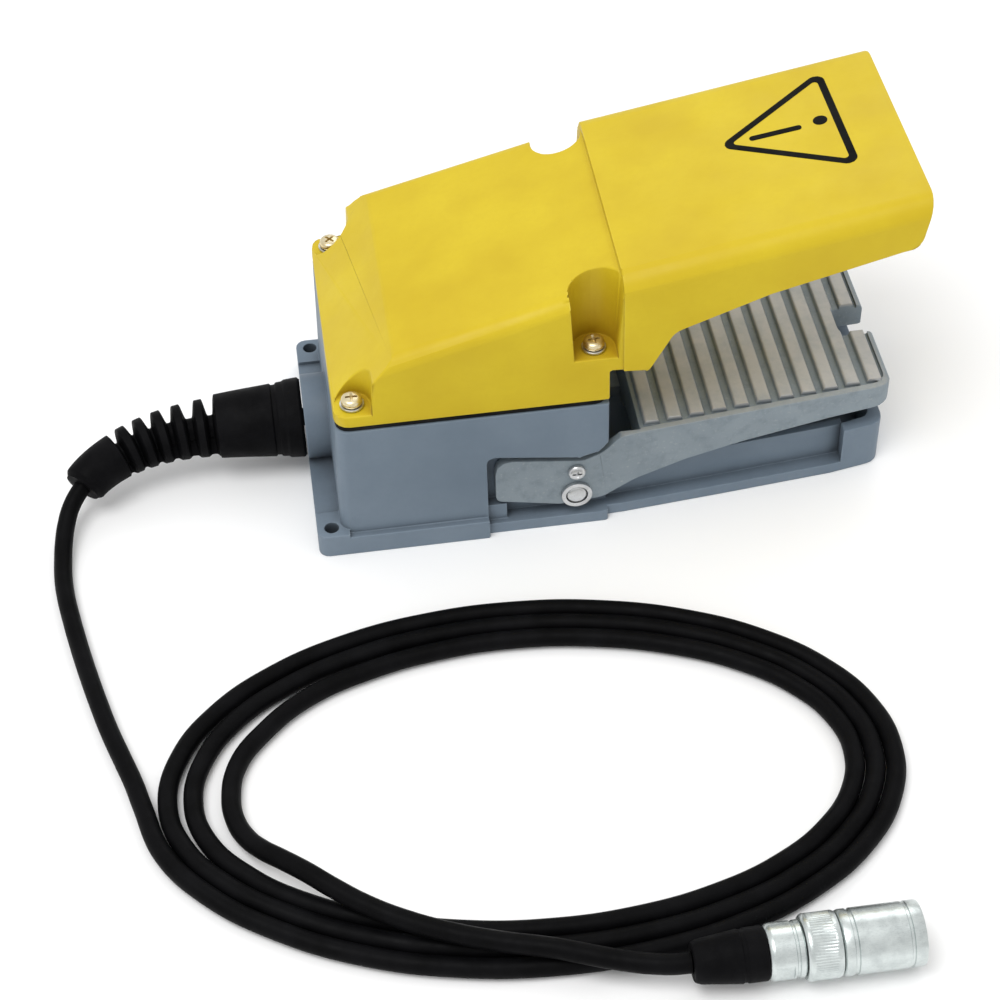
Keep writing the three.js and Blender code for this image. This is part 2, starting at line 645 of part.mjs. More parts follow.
function switchBracket() {
  const y = SWITCH_SIZE[1] / 2 + GAP;
  const low = BOSS_Z + GAP;
  const upright = block(SWITCH_X - 22, SWITCH_X + 18, y, y + 2, low, SWITCH_Z + 20);
  const foot = block(-56, -22, y, 27, low, low + 2);
  const holes = join(
    crossRod(SWITCH_X - 12.7, SWITCH_Z + 5, 2.1 + GAP, y - 1, y + 3, 16),
    crossRod(SWITCH_X + 12.7, SWITCH_Z + 5, 2.1 + GAP, y - 1, y + 3, 16),
    ...BRACKET_BOSSES.map(([x, py]) => post(x, py, FLOOR_SCREW_R + GAP, low - 1, low + 3, 12)));
  return join(upright, foot).subtract(holes);
}

function switchScrew(x) {
  const y = -SWITCH_SIZE[1] / 2 - GAP;
  const length = SWITCH_SIZE[1] + 2 * GAP + 4;
  return panScrew(2.1, 3.8, 2.6, length).rotate([90, 0, 0]).translate([x, y, SWITCH_Z + 5]);
}

function strikerBolt() {
  const headZ = TONGUE_Z + TONGUE_T + GAP + 3.4;
  const head = post(STRIKER_X, 0, 5.6, headZ, SWITCH_Z - 5.2 - GAP, 6);
  return join(head, post(STRIKER_X, 0, 3, TONGUE_Z - 2, headZ + 1, 16));
}

function strikerNut() {
  const z0 = TONGUE_Z + TONGUE_T + GAP;
  const hole = post(STRIKER_X, 0, 3 + GAP, z0 - 1, z0 + 4, 16);
  return post(STRIKER_X, 0, 5.6, z0, z0 + 2.8, 6).subtract(hole);
}

// A slotted screw that holds the bracket or the earth wire on a boss of the base's floor.
function floorScrew(x, y, headZ) {
  return panScrew(FLOOR_SCREW_R, 3.2, 2.4, headZ - 3).translate([x, y, headZ]);
}

// A terminal screw standing on the step at one end of the switch body.
function terminalScrew(x) {
  const stepZ = SWITCH_Z + SWITCH_SIZE[2] - TERMINAL_STEP;
  return turned([[0, 0], [3.4, 0], [3.4, 2], [2.8, 2.8], [0, 2.8]], 14).translate([x, 0, stepZ + GAP]);
}

// ---------- cable entry ----------

function glandSleeve() {
  const bore = CABLE_R + GAP;
  const sleeve = longRod(0, BOOT_Z, 8, REAR_X + 2, BOX_REAR_X + WALL + 9, 24);
  return sleeve.subtract(longRod(0, BOOT_Z, bore, REAR_X, BOX_REAR_X + WALL + 10, 12));
}

function glandNut() {
  const x0 = BOX_REAR_X + WALL + GAP;
  const bore = longRod(0, BOOT_Z, 8 + GAP, x0 - 1, x0 + 6, 24);
  return longRod(0, BOOT_Z, 12.5, x0, x0 + 5, 6).subtract(bore);
}

// Centre line of the bend protector: straight out of the boss, then easing down and to the near side.
const BOOT_LINE = [
  [REAR_X - GAP, 0, BOOT_Z], [-126, 0, BOOT_Z], [-137, 0, 21.1], [-148, -0.3, 21.2], [-160, -1, 21.1],
  [-172, -3, 20.7], [-183, -6.4, 19.6], [-192, -10.8, 18], [-199, -15.6, 16], [-203.9, -20.8, 13.9]];

// Bend protector: [share of that line, radius]. It stops a little before the line's end.
const BOOT_RADII = [[0, 15.8], [0.1, 15.6], [0.35, 12.8], [0.37, 11.8], [0.75, 9.8], [1, 8.6]];

function bootRadius(share) {
  const k = BOOT_RADII.findIndex(([s]) => s >= share);
  if (k <= 0) return BOOT_RADII[0][1];
  const [s0, r0] = BOOT_RADII[k - 1];
  const [s1, r1] = BOOT_RADII[k];
  return THREE.MathUtils.mapLinear(share, s0, s1, r0, r1);
}

// A solid of round sections along a curve, with the radius given by the share of its length.
function sleeve(curve, radiusAt, shares, sides) {
  const outlines = shares.map((share) => {
    const r = radiusAt(share);
    return Array.from({ length: sides }, (_, k) => {
      const angle = (2 * Math.PI * k) / sides;
      return new THREE.Vector2(r * Math.cos(angle), r * Math.sin(angle));
    });
  });
  return loft(outlines, (p, i) => {
    const centre = curve.getPointAt(shares[i]);
    const ahead = curve.getTangentAt(shares[i]);
    const side = new THREE.Vector3().crossVectors(new THREE.Vector3(0, 0, 1), ahead).normalize();
    const up = new THREE.Vector3().crossVectors(ahead, side);
    return centre.addScaledVector(side, p.x).addScaledVector(up, p.y);
  });
}

function bendProtector() {
  const curve = smoothCurve(BOOT_LINE);
  const shares = [0, 0.1, 0.22, 0.35, 0.37, 0.48, 0.6, 0.7, 0.8, 0.9, 0.975];
  const body = sleeve(curve, bootRadius, shares, 18);
  const longer = smoothCurve([[REAR_X + 6, 0, BOOT_Z], ...BOOT_LINE, [-207.4, -25.5, 11.7]]);
  const bore = sleeve(longer, () => CABLE_R + 0.8, [...shares, 1], 12);
  return body.subtract(bore);
}

// Cable from inside the box, through the bend protector, to the coil's outer edge.
const LEAD_POINTS = [
  [CABLE_END_X, 0, BOOT_Z], [-100, 0, BOOT_Z], ...BOOT_LINE, [-207.7, -26.6, 11.3], [-210, -33, 8.6],
  [-211.4, -40.5, 6.1], [-212, -48.5, 4.3], [-212, -57, 3.7], [-211.2, -66, 3.6], [-209.4, -77, 3.6],
  [-206.7, -91, 3.6], [-203.4, -106, 3.6], [-199.6, -121.5, 3.6], [-195.5, -136.5, 3.6],
  [-191.3, -149.5, 3.6], [-187.6, -161, 3.6], [-185, -171, 3.6]];

// The three cores inside the box, from the cable's end to the terminals and the earth screw.
const CORE_R = 1.1;
const CORES = {
  wire_brown: [
    [CABLE_END_X + 2 * GAP, 0, 22.8], [-81, 0, 24.5], [-77, -1, 31], [-75, -2.5, 42], [-72, -3, 52],
    [-67, -2, 57.5], [-62.5, 0, 56.6]],
  wire_blue: [
    [CABLE_END_X + 2 * GAP, 1.7, 20], [-80, 3, 21], [-73, 5, 28], [-70, 6, 42], [-67, 5.5, 58],
    [-56, 4, 66.5], [-38, 3, 68.5], [-22, 2, 66], [-13, 0.5, 60.5], [-10.5, 0, 57], [-12.4, 0, 56.3]],
  wire_earth: [
    [CABLE_END_X + 2 * GAP, -1.7, 20], [-83, -2.2, 19.9], [-80.5, -5.5, 18.6], [-80, -10, 16.5],
    [-81.5, -17, 13], [-84, -22.5, 10.6], [-85.5, -24.4, 9.9]],
};

// Cable from inside the coil's rear end, up onto the coil, along its front strands and out to the
// connector. First as [degrees round the coil, inset from its outermost centre line, height] ...
const TAIL_ON_COIL = [
  [180, 22.2, 3.6], [190, 22.2, 3.6], [198, 22.2, 4.4], [206, 22.2, 6.6], [214, 22, 9.2], [222, 20.6, 11],
  [230, 17.8, 11.5], [238, 14.4, 11.4], [246, 11.2, 11.3], [254, 8.2, 11.2], [262, 5.2, 11.2],
  [270, 1.8, 11.2]];

// ... and then as places.
const TAIL_OFF_COIL = [
  [-44, -258.6, 11.2], [-36, -261.7, 11.2], [-28.5, -264.3, 11.2], [-21.5, -266.2, 11.2],
  [-15.5, -267.2, 11.1], [SLEEVE_X - GAP, CONNECTOR_Y, CONNECTOR_Z]];

function tailPoints() {
  const onCoil = TAIL_ON_COIL.map(([degrees, inset, z]) => {
    const { x, y } = coilPoint(THREE.MathUtils.degToRad(degrees), inset);
    return [x, y, z];
  });
  return [...onCoil, ...TAIL_OFF_COIL];
}

// ---------- coil ----------

// A point on the coil's oval, a distance inside its outermost centre line.
function coilPoint(angle, inset) {
  const x = (COIL.a - inset) * Math.cos(angle);
  const y = (COIL.b - inset) * Math.sin(angle);
  return new THREE.Vector2(x, y).rotateAround(new THREE.Vector2(), COIL.turn)
    .add(new THREE.Vector2(COIL.x, COIL.y));
}

function coilRing() {
  const sides = 56;
  const oval = (inset) => Array.from(
    { length: sides }, (_, k) => coilPoint((2 * Math.PI * k) / sides, inset));
  return slab(oval(-COIL_OUT), 0.1, 0.1 + COIL_H).subtract(slab(oval(COIL_IN), -1, COIL_H + 1));
}

// ---------- connector ----------

// A turned piece of the connector: profile points [x, radius], closing on itself or on the axis.
function connectorPiece(profile, sides = 24) {
  const points = profile.map(([x, r]) => new THREE.Vector2(r, x));
  const geometry = new THREE.LatheGeometry(points, sides).rotateZ(-Math.PI / 2);
  return toSolid(geometry.translate(0, CONNECTOR_Y, CONNECTOR_Z));
}

function connectorSleeve() {
  const [x0, x1, bore] = [SLEEVE_X, 14.5, CABLE_R + GAP];
  return connectorPiece([
    [x0, bore], [x1, bore], [x1, 9], [x1 - 10, 8.9], [x0 + 2, 7.4], [x0, 6.6], [x0, bore]].reverse());
}

function connectorClampNut() {
  return connectorPiece([[14.8, 5], [26.5, 5], [26.5, 9.4], [15.8, 9.4], [14.8, 8.8], [14.8, 5]].reverse());
}

function connectorBody() {
  const r = CONNECTOR_R;
  return connectorPiece([
    [26.8, 5.6], [54, 5.6], [54, 8], [38.5, 8], [38.5, r - 0.7], [37.6, r], [27.7, r], [26.8, r - 0.7],
    [26.8, 5.6],
  ].reverse(), 32);
}

function couplingRing() {
  const r = CONNECTOR_R - 0.1;
  return connectorPiece([
    [38.8, 8.4], [54.6, 8.4], [54.6, 9.4], [66, 9.4], [66, r - 0.4], [65.2, r], [39.6, r], [38.8, r - 0.7],
    [38.8, 8.4],
  ].reverse(), 32);
}

function connectorInsert() {
  return connectorPiece([[41, 0], [56, 0], [56, 5.3], [41, 5.3], [41, 0]].reverse(), 24);
}

function connectorPin(k) {
  const angle = (2 * Math.PI * k) / 4 + Math.PI / 4;
  const y = CONNECTOR_Y + 3 * Math.cos(angle);
  const z = CONNECTOR_Z + 3 * Math.sin(angle);
  return longRod(y, z, 0.8, 56 + GAP, 62.5, 8);
}

// ---------- assembly ----------

const footSwitch = new THREE.Group();

function addPart(name, shape, material) {
  const geometry = shape.isBufferGeometry ? shape : toGeometry(shape);
  const mesh = new THREE.Mesh(geometry, material);
  mesh.name = name;
  footSwitch.add(mesh);
}

addPart('base_casting', baseCasting(), BASE_GREY);
addPart('hood_gasket', hoodGasket(), GASKET);
addPart('hood_casting', hoodCasting(), YELLOW);

let screwNumber = 1;
for (const [x, y, floorZ] of HOOD_SCREWS) {
  for (const side of [-1, 1]) {
    const headZ = floorZ + 2 * GAP + WASHER_T;
    addPart(`hood_washer_${screwNumber}`,
      washer(SCREW_R + GAP, WASHER_R, WASHER_T).translate([x, side * y, floorZ + GAP]), STEEL);
    const screw = panScrew(SCREW_R, SCREW_HEAD_R, SCREW_HEAD_H, headZ - SCREW_TIP_Z);
    addPart(`hood_screw_${screwNumber}`, screw.translate([x, side * y, headZ]), ZINC);
    screwNumber += 1;
  }
}

addPart('pedal_casting', pedalCasting(), PEDAL_GREY);
addPart('pivot_axle', pivotAxle(), STEEL);
addPart('axle_ring_near', axleCap(-1), STEEL);
addPart('axle_ring_far', axleCap(1), STEEL);
addPart('stop_screw_near', stopScrew(-1), STEEL);
addPart('stop_screw_far', stopScrew(1), STEEL);
addPart('return_spring', returnSpring(), STEEL);
addPart('striker_bolt', strikerBolt(), STEEL);
addPart('striker_locknut', strikerNut(), STEEL);

addPart('switch_case', switchCase(), PHENOLIC);
addPart('switch_plunger', switchPlunger(), RUBBER);
addPart('switch_bracket', switchBracket(), STEEL);
addPart('switch_screw_rear', switchScrew(SWITCH_X - 12.7), STEEL);
addPart('switch_screw_front', switchScrew(SWITCH_X + 12.7), STEEL);

addPart('terminal_screw_rear', terminalScrew(SWITCH_X - SWITCH_SIZE[0] / 2 + TERMINAL_LENGTH / 2), BRASS);
addPart('terminal_screw_front', terminalScrew(SWITCH_X + SWITCH_SIZE[0] / 2 - TERMINAL_LENGTH / 2), BRASS);
addPart('bracket_screw_rear', floorScrew(...BRACKET_BOSSES[0], BOSS_Z + 2 + 2 * GAP), STEEL);
addPart('bracket_screw_front', floorScrew(...BRACKET_BOSSES[1], BOSS_Z + 2 + 2 * GAP), STEEL);
addPart('earth_screw', floorScrew(...EARTH_BOSS, BOSS_Z + GAP), BRASS);

addPart('gland_sleeve', glandSleeve(), NICKEL);
addPart('gland_nut', glandNut(), NICKEL);
addPart('bend_protector', bendProtector(), RUBBER);

addPart('wire_brown', tube(smoothCurve(CORES.wire_brown), CORE_R, 14, 6), BROWN_WIRE);
addPart('wire_blue', tube(smoothCurve(CORES.wire_blue), CORE_R, 24, 6), BLUE_WIRE);
addPart('wire_earth', tube(smoothCurve(CORES.wire_earth), CORE_R, 12, 6), EARTH_WIRE);

addPart('cord_lead', tube(smoothCurve(LEAD_POINTS), CABLE_R, 40, 8), RUBBER);
addPart('cord_coil', coilRing(), RUBBER);
addPart('cord_tail', tube(smoothCurve(tailPoints()), CABLE_R, 28, 8), RUBBER);

addPart('connector_sleeve', connectorSleeve(), RUBBER);
addPart('connector_clamp_nut', connectorClampNut(), NICKEL);
addPart('connector_body', connectorBody(), NICKEL);
addPart('connector_coupling_ring', couplingRing(), NICKEL);
addPart('connector_insert', connectorInsert(), PHENOLIC);
for (let k = 0; k < 4; k++) {
  addPart(`connector_pin_${k + 1}`, connectorPin(k), BRASS);
}

export default footSwitch;
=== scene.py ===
"""Looks of the guarded foot switch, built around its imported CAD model.

Shapes are worked out in millimetres and made in metres, in the CAD model's frame:
+X to the toe, +Y to the far side, +Z up, the origin under the middle of the base.
"""

import json
import math

import bmesh
import bpy
from mathutils import Matrix, Vector


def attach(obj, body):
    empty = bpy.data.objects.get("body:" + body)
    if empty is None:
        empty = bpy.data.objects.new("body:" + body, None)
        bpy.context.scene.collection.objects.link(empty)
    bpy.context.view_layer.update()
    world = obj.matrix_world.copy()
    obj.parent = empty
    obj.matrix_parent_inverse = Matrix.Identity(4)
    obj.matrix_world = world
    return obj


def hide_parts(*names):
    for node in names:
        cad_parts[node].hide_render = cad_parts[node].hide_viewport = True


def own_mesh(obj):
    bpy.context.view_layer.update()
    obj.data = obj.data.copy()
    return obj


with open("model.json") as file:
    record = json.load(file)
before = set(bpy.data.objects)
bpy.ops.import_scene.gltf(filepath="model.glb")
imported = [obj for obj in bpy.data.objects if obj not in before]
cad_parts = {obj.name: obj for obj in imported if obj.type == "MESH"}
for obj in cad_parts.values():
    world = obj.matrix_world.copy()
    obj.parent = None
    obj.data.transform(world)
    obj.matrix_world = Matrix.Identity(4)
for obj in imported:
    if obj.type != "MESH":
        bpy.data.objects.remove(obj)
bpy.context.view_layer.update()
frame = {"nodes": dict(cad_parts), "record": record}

MM = 0.001

BODY_OF = {node: body for body, nodes in frame["record"]["behaviour"]["bodies"].items() for node in nodes}

# ---------- dimensions shared with the CAD model, in millimetres ----------

GAP = 0.3  # between touching pieces
CABLE_R = 3.5
LIE_Z = 3.6  # height of the cable's centre line where it lies on the floor
CONNECTOR_Y = -267.5
CONNECTOR_Z = 11.1
CONNECTOR_R = 11
SLEEVE_X = -9.5  # the connector's cable end

# The guard's sloping top: its height at GUARD_X and its rise towards the toe.
GUARD_X = 5.5
GUARD_TOP_Z = 116.5
GUARD_SLOPE = 0.1875

# Hood screws, (x, y, height of the pocket's floor); each stands on both sides.
HOOD_SCREWS = [(-95.5, 47, 67.5), (-4.5, 46, 82)]
HOOD_WASHER_H = 1
HOOD_SCREW_TIP_Z = 46

PIVOT_X = -12
PIVOT_Z = 15
AXLE_R = 4
AXLE_OUT = 1.8  # how far the axle stands out of each arm
ARM_OUT = 53.7  # outer face of the pedal's arms
STOP_SCREW_UP = 12  # from the pivot up to the arms' screws
TREAD_Z = 40.7  # just above the pedal's floor between the ribs
RIB_TOP_Z = 42

# Screws of the switch in the box, by the places where their heads stand; the rear one first.
SWITCH_X = -37.5
SWITCH_SCREWS_X = (SWITCH_X - 12.7, SWITCH_X + 12.7)
SWITCH_SCREW_Y = -9
SWITCH_SCREW_Z = 43.5
TERMINALS_X = (SWITCH_X - 20, SWITCH_X + 20)
TERMINAL_Z = 54.8
BRACKET_SCREWS_X = (-50, -28)
BRACKET_SCREW_Y = 20
BRACKET_SCREW_Z = 10.8
EARTH_SCREW_SPOT = (-86, -28, 8.5)

# The return spring under the pedal.
SPRING_X = 38
SPRING_LOW = 6.1
SPRING_HIGH = 34.9
SPRING_COIL_R = 6.6
SPRING_WIRE_R = 0.8
SPRING_TURNS = 5.5

PITCH = 7.2  # from one strand of the coil to the next

# The coil: the centre line of its outermost strand is an ellipse.
COIL_CENTRE = Vector((-48.2, -178.9))
COIL_A = 128.2
COIL_B = 78.3
COIL_TURN = -0.058  # radians

# The bend protector's centre line.
BOOT_LINE = [
    (-113.8, 0, 21), (-126, 0, 21), (-137, 0, 21.1), (-148, -0.3, 21.2), (-160, -1, 21.1),
    (-172, -3, 20.7), (-183, -6.4, 19.6), (-192, -10.8, 18), (-199, -15.6, 16), (-203.9, -20.8, 13.9),
]
CABLE_END_X = -86  # where the cable ends inside the box
CABLE_Z = 21  # its height there

# The cable from inside the protector's tip to the coil.
LEAD_POINTS = [
    (-192, -10.8, 18), (-199, -15.6, 16), (-203.9, -20.8, 13.9), (-207.7, -26.6, 11.3), (-210, -33, 8.6),
    (-211.4, -40.5, 6.1), (-212, -48.5, 4.3), (-212, -57, 3.7), (-211.2, -66, 3.6), (-209.4, -77, 3.6),
    (-206.7, -91, 3.6), (-203.4, -106, 3.6), (-199.6, -121.5, 3.6), (-195.5, -136.5, 3.6),
    (-191.3, -149.5, 3.6), (-187.6, -161, 3.6), (-185, -171, 3.6),
]

# How far the cable lies inside the outermost centre line: (degrees travelled round the coil, millimetres).
COIL_INSETS = [
    (195, -5.4), (210, -2.4), (225, -0.5), (245, 0), (450, 0), (525, -0.4), (540, 0), (555, 2.0), (570, 4.9),
    (585, 6.8), (605, PITCH), (810, PITCH), (870, 7.9), (900, 9), (918, 10.3), (934, 12.7), (955, 14.4),
    (1170, 2 * PITCH), (1205, 16.2), (1235, 20), (1257, 22.1),
]
COIL_STEP = 15  # degrees between the coil's points

# The cable's end climbs over the coil's front strands and leaves them for the connector:
# first (degrees round the coil, inset from its outermost centre line, height), then places.
TAIL_ON_COIL = [
    (180, 22.2, 3.6), (190, 22.2, 3.6), (198, 22.2, 4.4), (206, 22.2, 6.6), (214, 22, 9.2), (222, 20.6, 11),
    (230, 17.8, 11.5), (238, 14.4, 11.4), (246, 11.2, 11.3), (254, 8.2, 11.2), (262, 5.2, 11.2),
    (270, 1.8, 11.2),
]
TAIL_OFF_COIL = [
    (-44, -258.6, 11.2), (-36, -261.7, 11.2), (-28.5, -264.3, 11.2), (-21.5, -266.2, 11.2),
    (-15.5, -267.2, 11.1), (SLEEVE_X - GAP, CONNECTOR_Y, CONNECTOR_Z),
]


# ---------- camera ----------

CAMERA_SPOT = Vector((-114.5, -657.2, 629.6))


def add_camera():
    """The photograph's view: down from the near side, turned a little to the rear."""
    data = bpy.data.cameras.new("camera")
    data.sensor_width = 36
    data.lens = 80.25
    data.clip_start = 0.01
    camera = bpy.data.objects.new("camera", data)
    bpy.context.collection.objects.link(camera)
    azimuth, elevation, roll = math.radians(-6.85), math.radians(45.29), math.radians(-1.65)
    back = Vector((
        math.sin(azimuth) * math.cos(elevation),
        -math.cos(azimuth) * math.cos(elevation),
        math.sin(elevation),
    ))
    level = Vector((math.cos(azimuth), math.sin(azimuth), 0))
    right = Matrix.Rotation(roll, 3, back) @ level
    up = back.cross(right)
    axes = Matrix((right, up, back)).transposed().to_4x4()
    camera.matrix_world = Matrix.Translation(CAMERA_SPOT * MM) @ axes
    bpy.context.scene.camera = camera


# ---------- mesh helpers ----------

def new_piece(name, mesh_data, material, smooth=35):
    """Puts a bmesh, in millimetres, into the scene as an object."""
    bmesh.ops.remove_doubles(mesh_data, verts=mesh_data.verts, dist=1e-4)
    bmesh.ops.recalc_face_normals(mesh_data, faces=mesh_data.faces)
    bmesh.ops.scale(mesh_data, vec=(MM, MM, MM), verts=mesh_data.verts)
    mesh = bpy.data.meshes.new(name)
    mesh_data.to_mesh(mesh)
    mesh_data.free()
    piece = bpy.data.objects.new(name, mesh)
    bpy.context.collection.objects.link(piece)
    shade(piece, smooth)
    mesh.materials.append(material)
    return piece


def stand_in(piece, *nodes):
    """The piece takes the place of CAD nodes, on their body."""
    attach(piece, BODY_OF[nodes[0]])
    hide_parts(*nodes)
    return piece


def shade(piece, angle):
    """Smooth shading that keeps edges sharper than the angle, in degrees."""
    piece.data.shade_smooth()
    piece.data.set_sharp_from_angle(angle=math.radians(angle))


def apply_modifiers(piece):
    """Turns a piece's modifiers into its mesh."""
    bpy.context.view_layer.update()
    graph = bpy.context.evaluated_depsgraph_get()
    result = bpy.data.meshes.new_from_object(piece.evaluated_get(graph))
    piece.modifiers.clear()
    piece.data = result


def cut(piece, cutter):
    """Takes the cutter's shape out of the piece, then removes the cutter."""
    boolean = piece.modifiers.new("cut", "BOOLEAN")
    boolean.operation = "DIFFERENCE"
    boolean.solver = "EXACT"
    boolean.object = cutter
    apply_modifiers(piece)
    bpy.data.objects.remove(cutter)


def add_ring(mesh_data, points):
    """New vertices at the points, in their order."""
    return [mesh_data.verts.new(p) for p in points]


def join_rings(mesh_data, first, second):
    """Faces between two rings of points; either one may be a single point."""
    count = max(len(first), len(second))
    for k in range(count):
        n = (k + 1) % count
        a, b = first[k % len(first)], first[n % len(first)]
        c, d = second[n % len(second)], second[k % len(second)]
        corners = []
        for corner in (a, b, c, d):
            if corner not in corners:
                corners.append(corner)
        if len(corners) > 2:
            mesh_data.faces.new(corners)


def turned(profile, sides, wave=None):
    """A closed turned shape about Z from (radius, height) points; wave(angle, r, h) changes the radius."""
    mesh_data = bmesh.new()
    rings = []
    for r, h in profile:
        if r < 1e-6:
            rings.append(add_ring(mesh_data, [(0, 0, h)]))
            continue
        points = []
        for k in range(sides):
            angle = 2 * math.pi * k / sides
            radius = wave(angle, r, h) if wave else r
            points.append((radius * math.cos(angle), radius * math.sin(angle), h))
        rings.append(add_ring(mesh_data, points))
    for first, second in zip(rings, rings[1:]):
        join_rings(mesh_data, first, second)
    if len(rings[0]) > 1 and len(rings[-1]) > 1:
        join_rings(mesh_data, rings[-1], rings[0])
    return mesh_data


def place(mesh_data, position, axis):
    """Turns a shape made about Z to another axis ('X', '-Y' and so on) and moves it."""
    turns = {
        "Z": Matrix.Identity(3),
        "-Z": Matrix.Rotation(math.pi, 3, "X"),
        "X": Matrix.Rotation(math.pi / 2, 3, "Y"),
        "-X": Matrix.Rotation(-math.pi / 2, 3, "Y"),
        "Y": Matrix.Rotation(-math.pi / 2, 3, "X"),
        "-Y": Matrix.Rotation(math.pi / 2, 3, "X"),
    }
    matrix = Matrix.Translation(Vector(position)) @ turns[axis].to_4x4()
    bmesh.ops.transform(mesh_data, matrix=matrix, verts=mesh_data.verts)
    return mesh_data


def spline(points, share):
    """A point on a smooth curve through the points; share runs from 0 to 1."""
    last = len(points) - 1
    place_on = min(max(share, 0), 1) * last
    k = min(int(place_on), last - 1)
    t = place_on - k
    p = [Vector(points[min(max(k + i, 0), last)]) for i in (-1, 0, 1, 2)]
    return 0.5 * (
        2 * p[1]
        + (p[2] - p[0]) * t
        + (2 * p[0] - 5 * p[1] + 4 * p[2] - p[3]) * t ** 2
        + (3 * p[1] - p[0] - 3 * p[2] + p[3]) * t ** 3
    )


def evenly(points, count):
    """The smooth curve through the points, as count evenly spaced steps, and its length."""
    parts = 20 * len(points)
    fine = [spline(points, i / parts) for i in range(parts + 1)]
    travelled = [0]
    for before, after in zip(fine, fine[1:]):
        travelled.append(travelled[-1] + (after - before).length)
    total = travelled[-1]
    line = []
    k = 0
    for i in range(count + 1):
        wanted = total * i / count
        while k < len(fine) - 2 and travelled[k + 1] < wanted:
            k += 1
        share = (wanted - travelled[k]) / (travelled[k + 1] - travelled[k])
        line.append(fine[k].lerp(fine[k + 1], share))
    return line, total


def swept(line, step, sides, radius):
    """A closed round shape along an evenly spaced line; radius(distance, angle), with 90 degrees on top."""
    mesh_data = bmesh.new()
    rings = []
    for i, centre in enumerate(line):
        ahead = (line[min(i + 1, len(line) - 1)] - line[max(i - 1, 0)]).normalized()
        side = Vector((0, 0, 1)).cross(ahead).normalized()
        up = ahead.cross(side)
        ring = []
        for k in range(sides):
            angle = 2 * math.pi * k / sides
            r = radius(step * i, angle)
            ring.append(centre + side * (r * math.cos(angle)) + up * (r * math.sin(angle)))
        rings.append(add_ring(mesh_data, ring))
    for first, second in zip(rings, rings[1:]):
        join_rings(mesh_data, first, second)
    mesh_data.faces.new(rings[0])
    mesh_data.faces.new(rings[-1])
    return mesh_data


def ramp(value, start, end):
    """0 below start, 1 above end, smooth between them."""
    t = min(max((value - start) / (end - start), 0), 1)
    return t * t * (3 - 2 * t)


# ---------- material helpers ----------

class Shader:
    """A material's node tree, with short calls for the nodes used here."""

    def __init__(self, name):
        self.material = bpy.data.materials.new(name)
        self.material.use_nodes = True
        self.nodes = self.material.node_tree.nodes
        self.links = self.material.node_tree.links
        self.surface = self.nodes["Principled BSDF"]
        self.where = self.nodes.new("ShaderNodeTexCoord").outputs["Object"]

    def add(self, kind, **settings):
        """A new node with the settings given by name."""
        node = self.nodes.new(kind)
        for key, value in settings.items():
            setattr(node, key, value)
        return node

    def link(self, source, target):
        self.links.new(source, target)

    def noise(self, size_mm, detail, roughness=0.55, stretch=None):
        """Noise with features about size_mm across; stretch scales it along X, Y and Z."""
        node = self.add("ShaderNodeTexNoise")
        node.inputs["Scale"].default_value = 1 / (size_mm * MM)
        node.inputs["Detail"].default_value = detail
        node.inputs["Roughness"].default_value = roughness
        source = self.where
        if stretch:
            mapping = self.add("ShaderNodeMapping")
            mapping.inputs["Scale"].default_value = stretch
            self.link(self.where, mapping.inputs["Vector"])
            source = mapping.outputs["Vector"]
        self.link(source, node.inputs["Vector"])
        return node.outputs["Fac"]

    def range(self, value, low, high, to_low, to_high):
        """The value moved from one range to another, and held at its ends."""
        node = self.add("ShaderNodeMapRange")
        node.inputs["From Min"].default_value = low
        node.inputs["From Max"].default_value = high
        node.inputs["To Min"].default_value = to_low
        node.inputs["To Max"].default_value = to_high
        self.link(value, node.inputs["Value"])
        return node.outputs["Result"]

    def blend(self, share, first, second):
        """A mix of two colours, each a tuple or a socket."""
        node = self.add("ShaderNodeMix", data_type="RGBA")
        self.link(share, node.inputs["Factor"])
        for source, target in ((first, node.inputs["A"]), (second, node.inputs["B"])):
            if isinstance(source, tuple):
                target.default_value = (*source, 1)
            else:
                self.link(source, target)
        return node.outputs["Result"]

    def product(self, first, second):
        """Two values multiplied."""
        node = self.add("ShaderNodeMath", operation="MULTIPLY")
        self.link(first, node.inputs[0])
        self.link(second, node.inputs[1])
        return node.outputs["Value"]

    def crevice(self, distance_mm, inside=False):
        """1 in the open, falling to 0 in a corner about distance_mm deep."""
        node = self.add("ShaderNodeAmbientOcclusion", samples=6, inside=inside, only_local=True)
        node.inputs["Distance"].default_value = distance_mm * MM
        return node.outputs["AO"]

    def height(self):
        """The height over the floor, in metres, at rest."""
        node = self.add("ShaderNodeSeparateXYZ")
        self.link(self.where, node.inputs["Vector"])
        return node.outputs["Z"]

    def bump(self, value, depth_mm, strength, under=None):
        """Relief from a value, over the relief under it if there is any."""
        node = self.add("ShaderNodeBump")
        node.inputs["Strength"].default_value = strength
        node.inputs["Distance"].default_value = depth_mm * MM
        self.link(value, node.inputs["Height"])
        if under:
            self.link(under, node.inputs["Normal"])
        self.link(node.outputs["Normal"], self.surface.inputs["Normal"])
        return node.outputs["Normal"]

    def set(self, **values):
        """Plain values for the surface's inputs, with _ for a space in their names."""
        for key, value in values.items():
            self.surface.inputs[key.replace("_", " ")].default_value = value


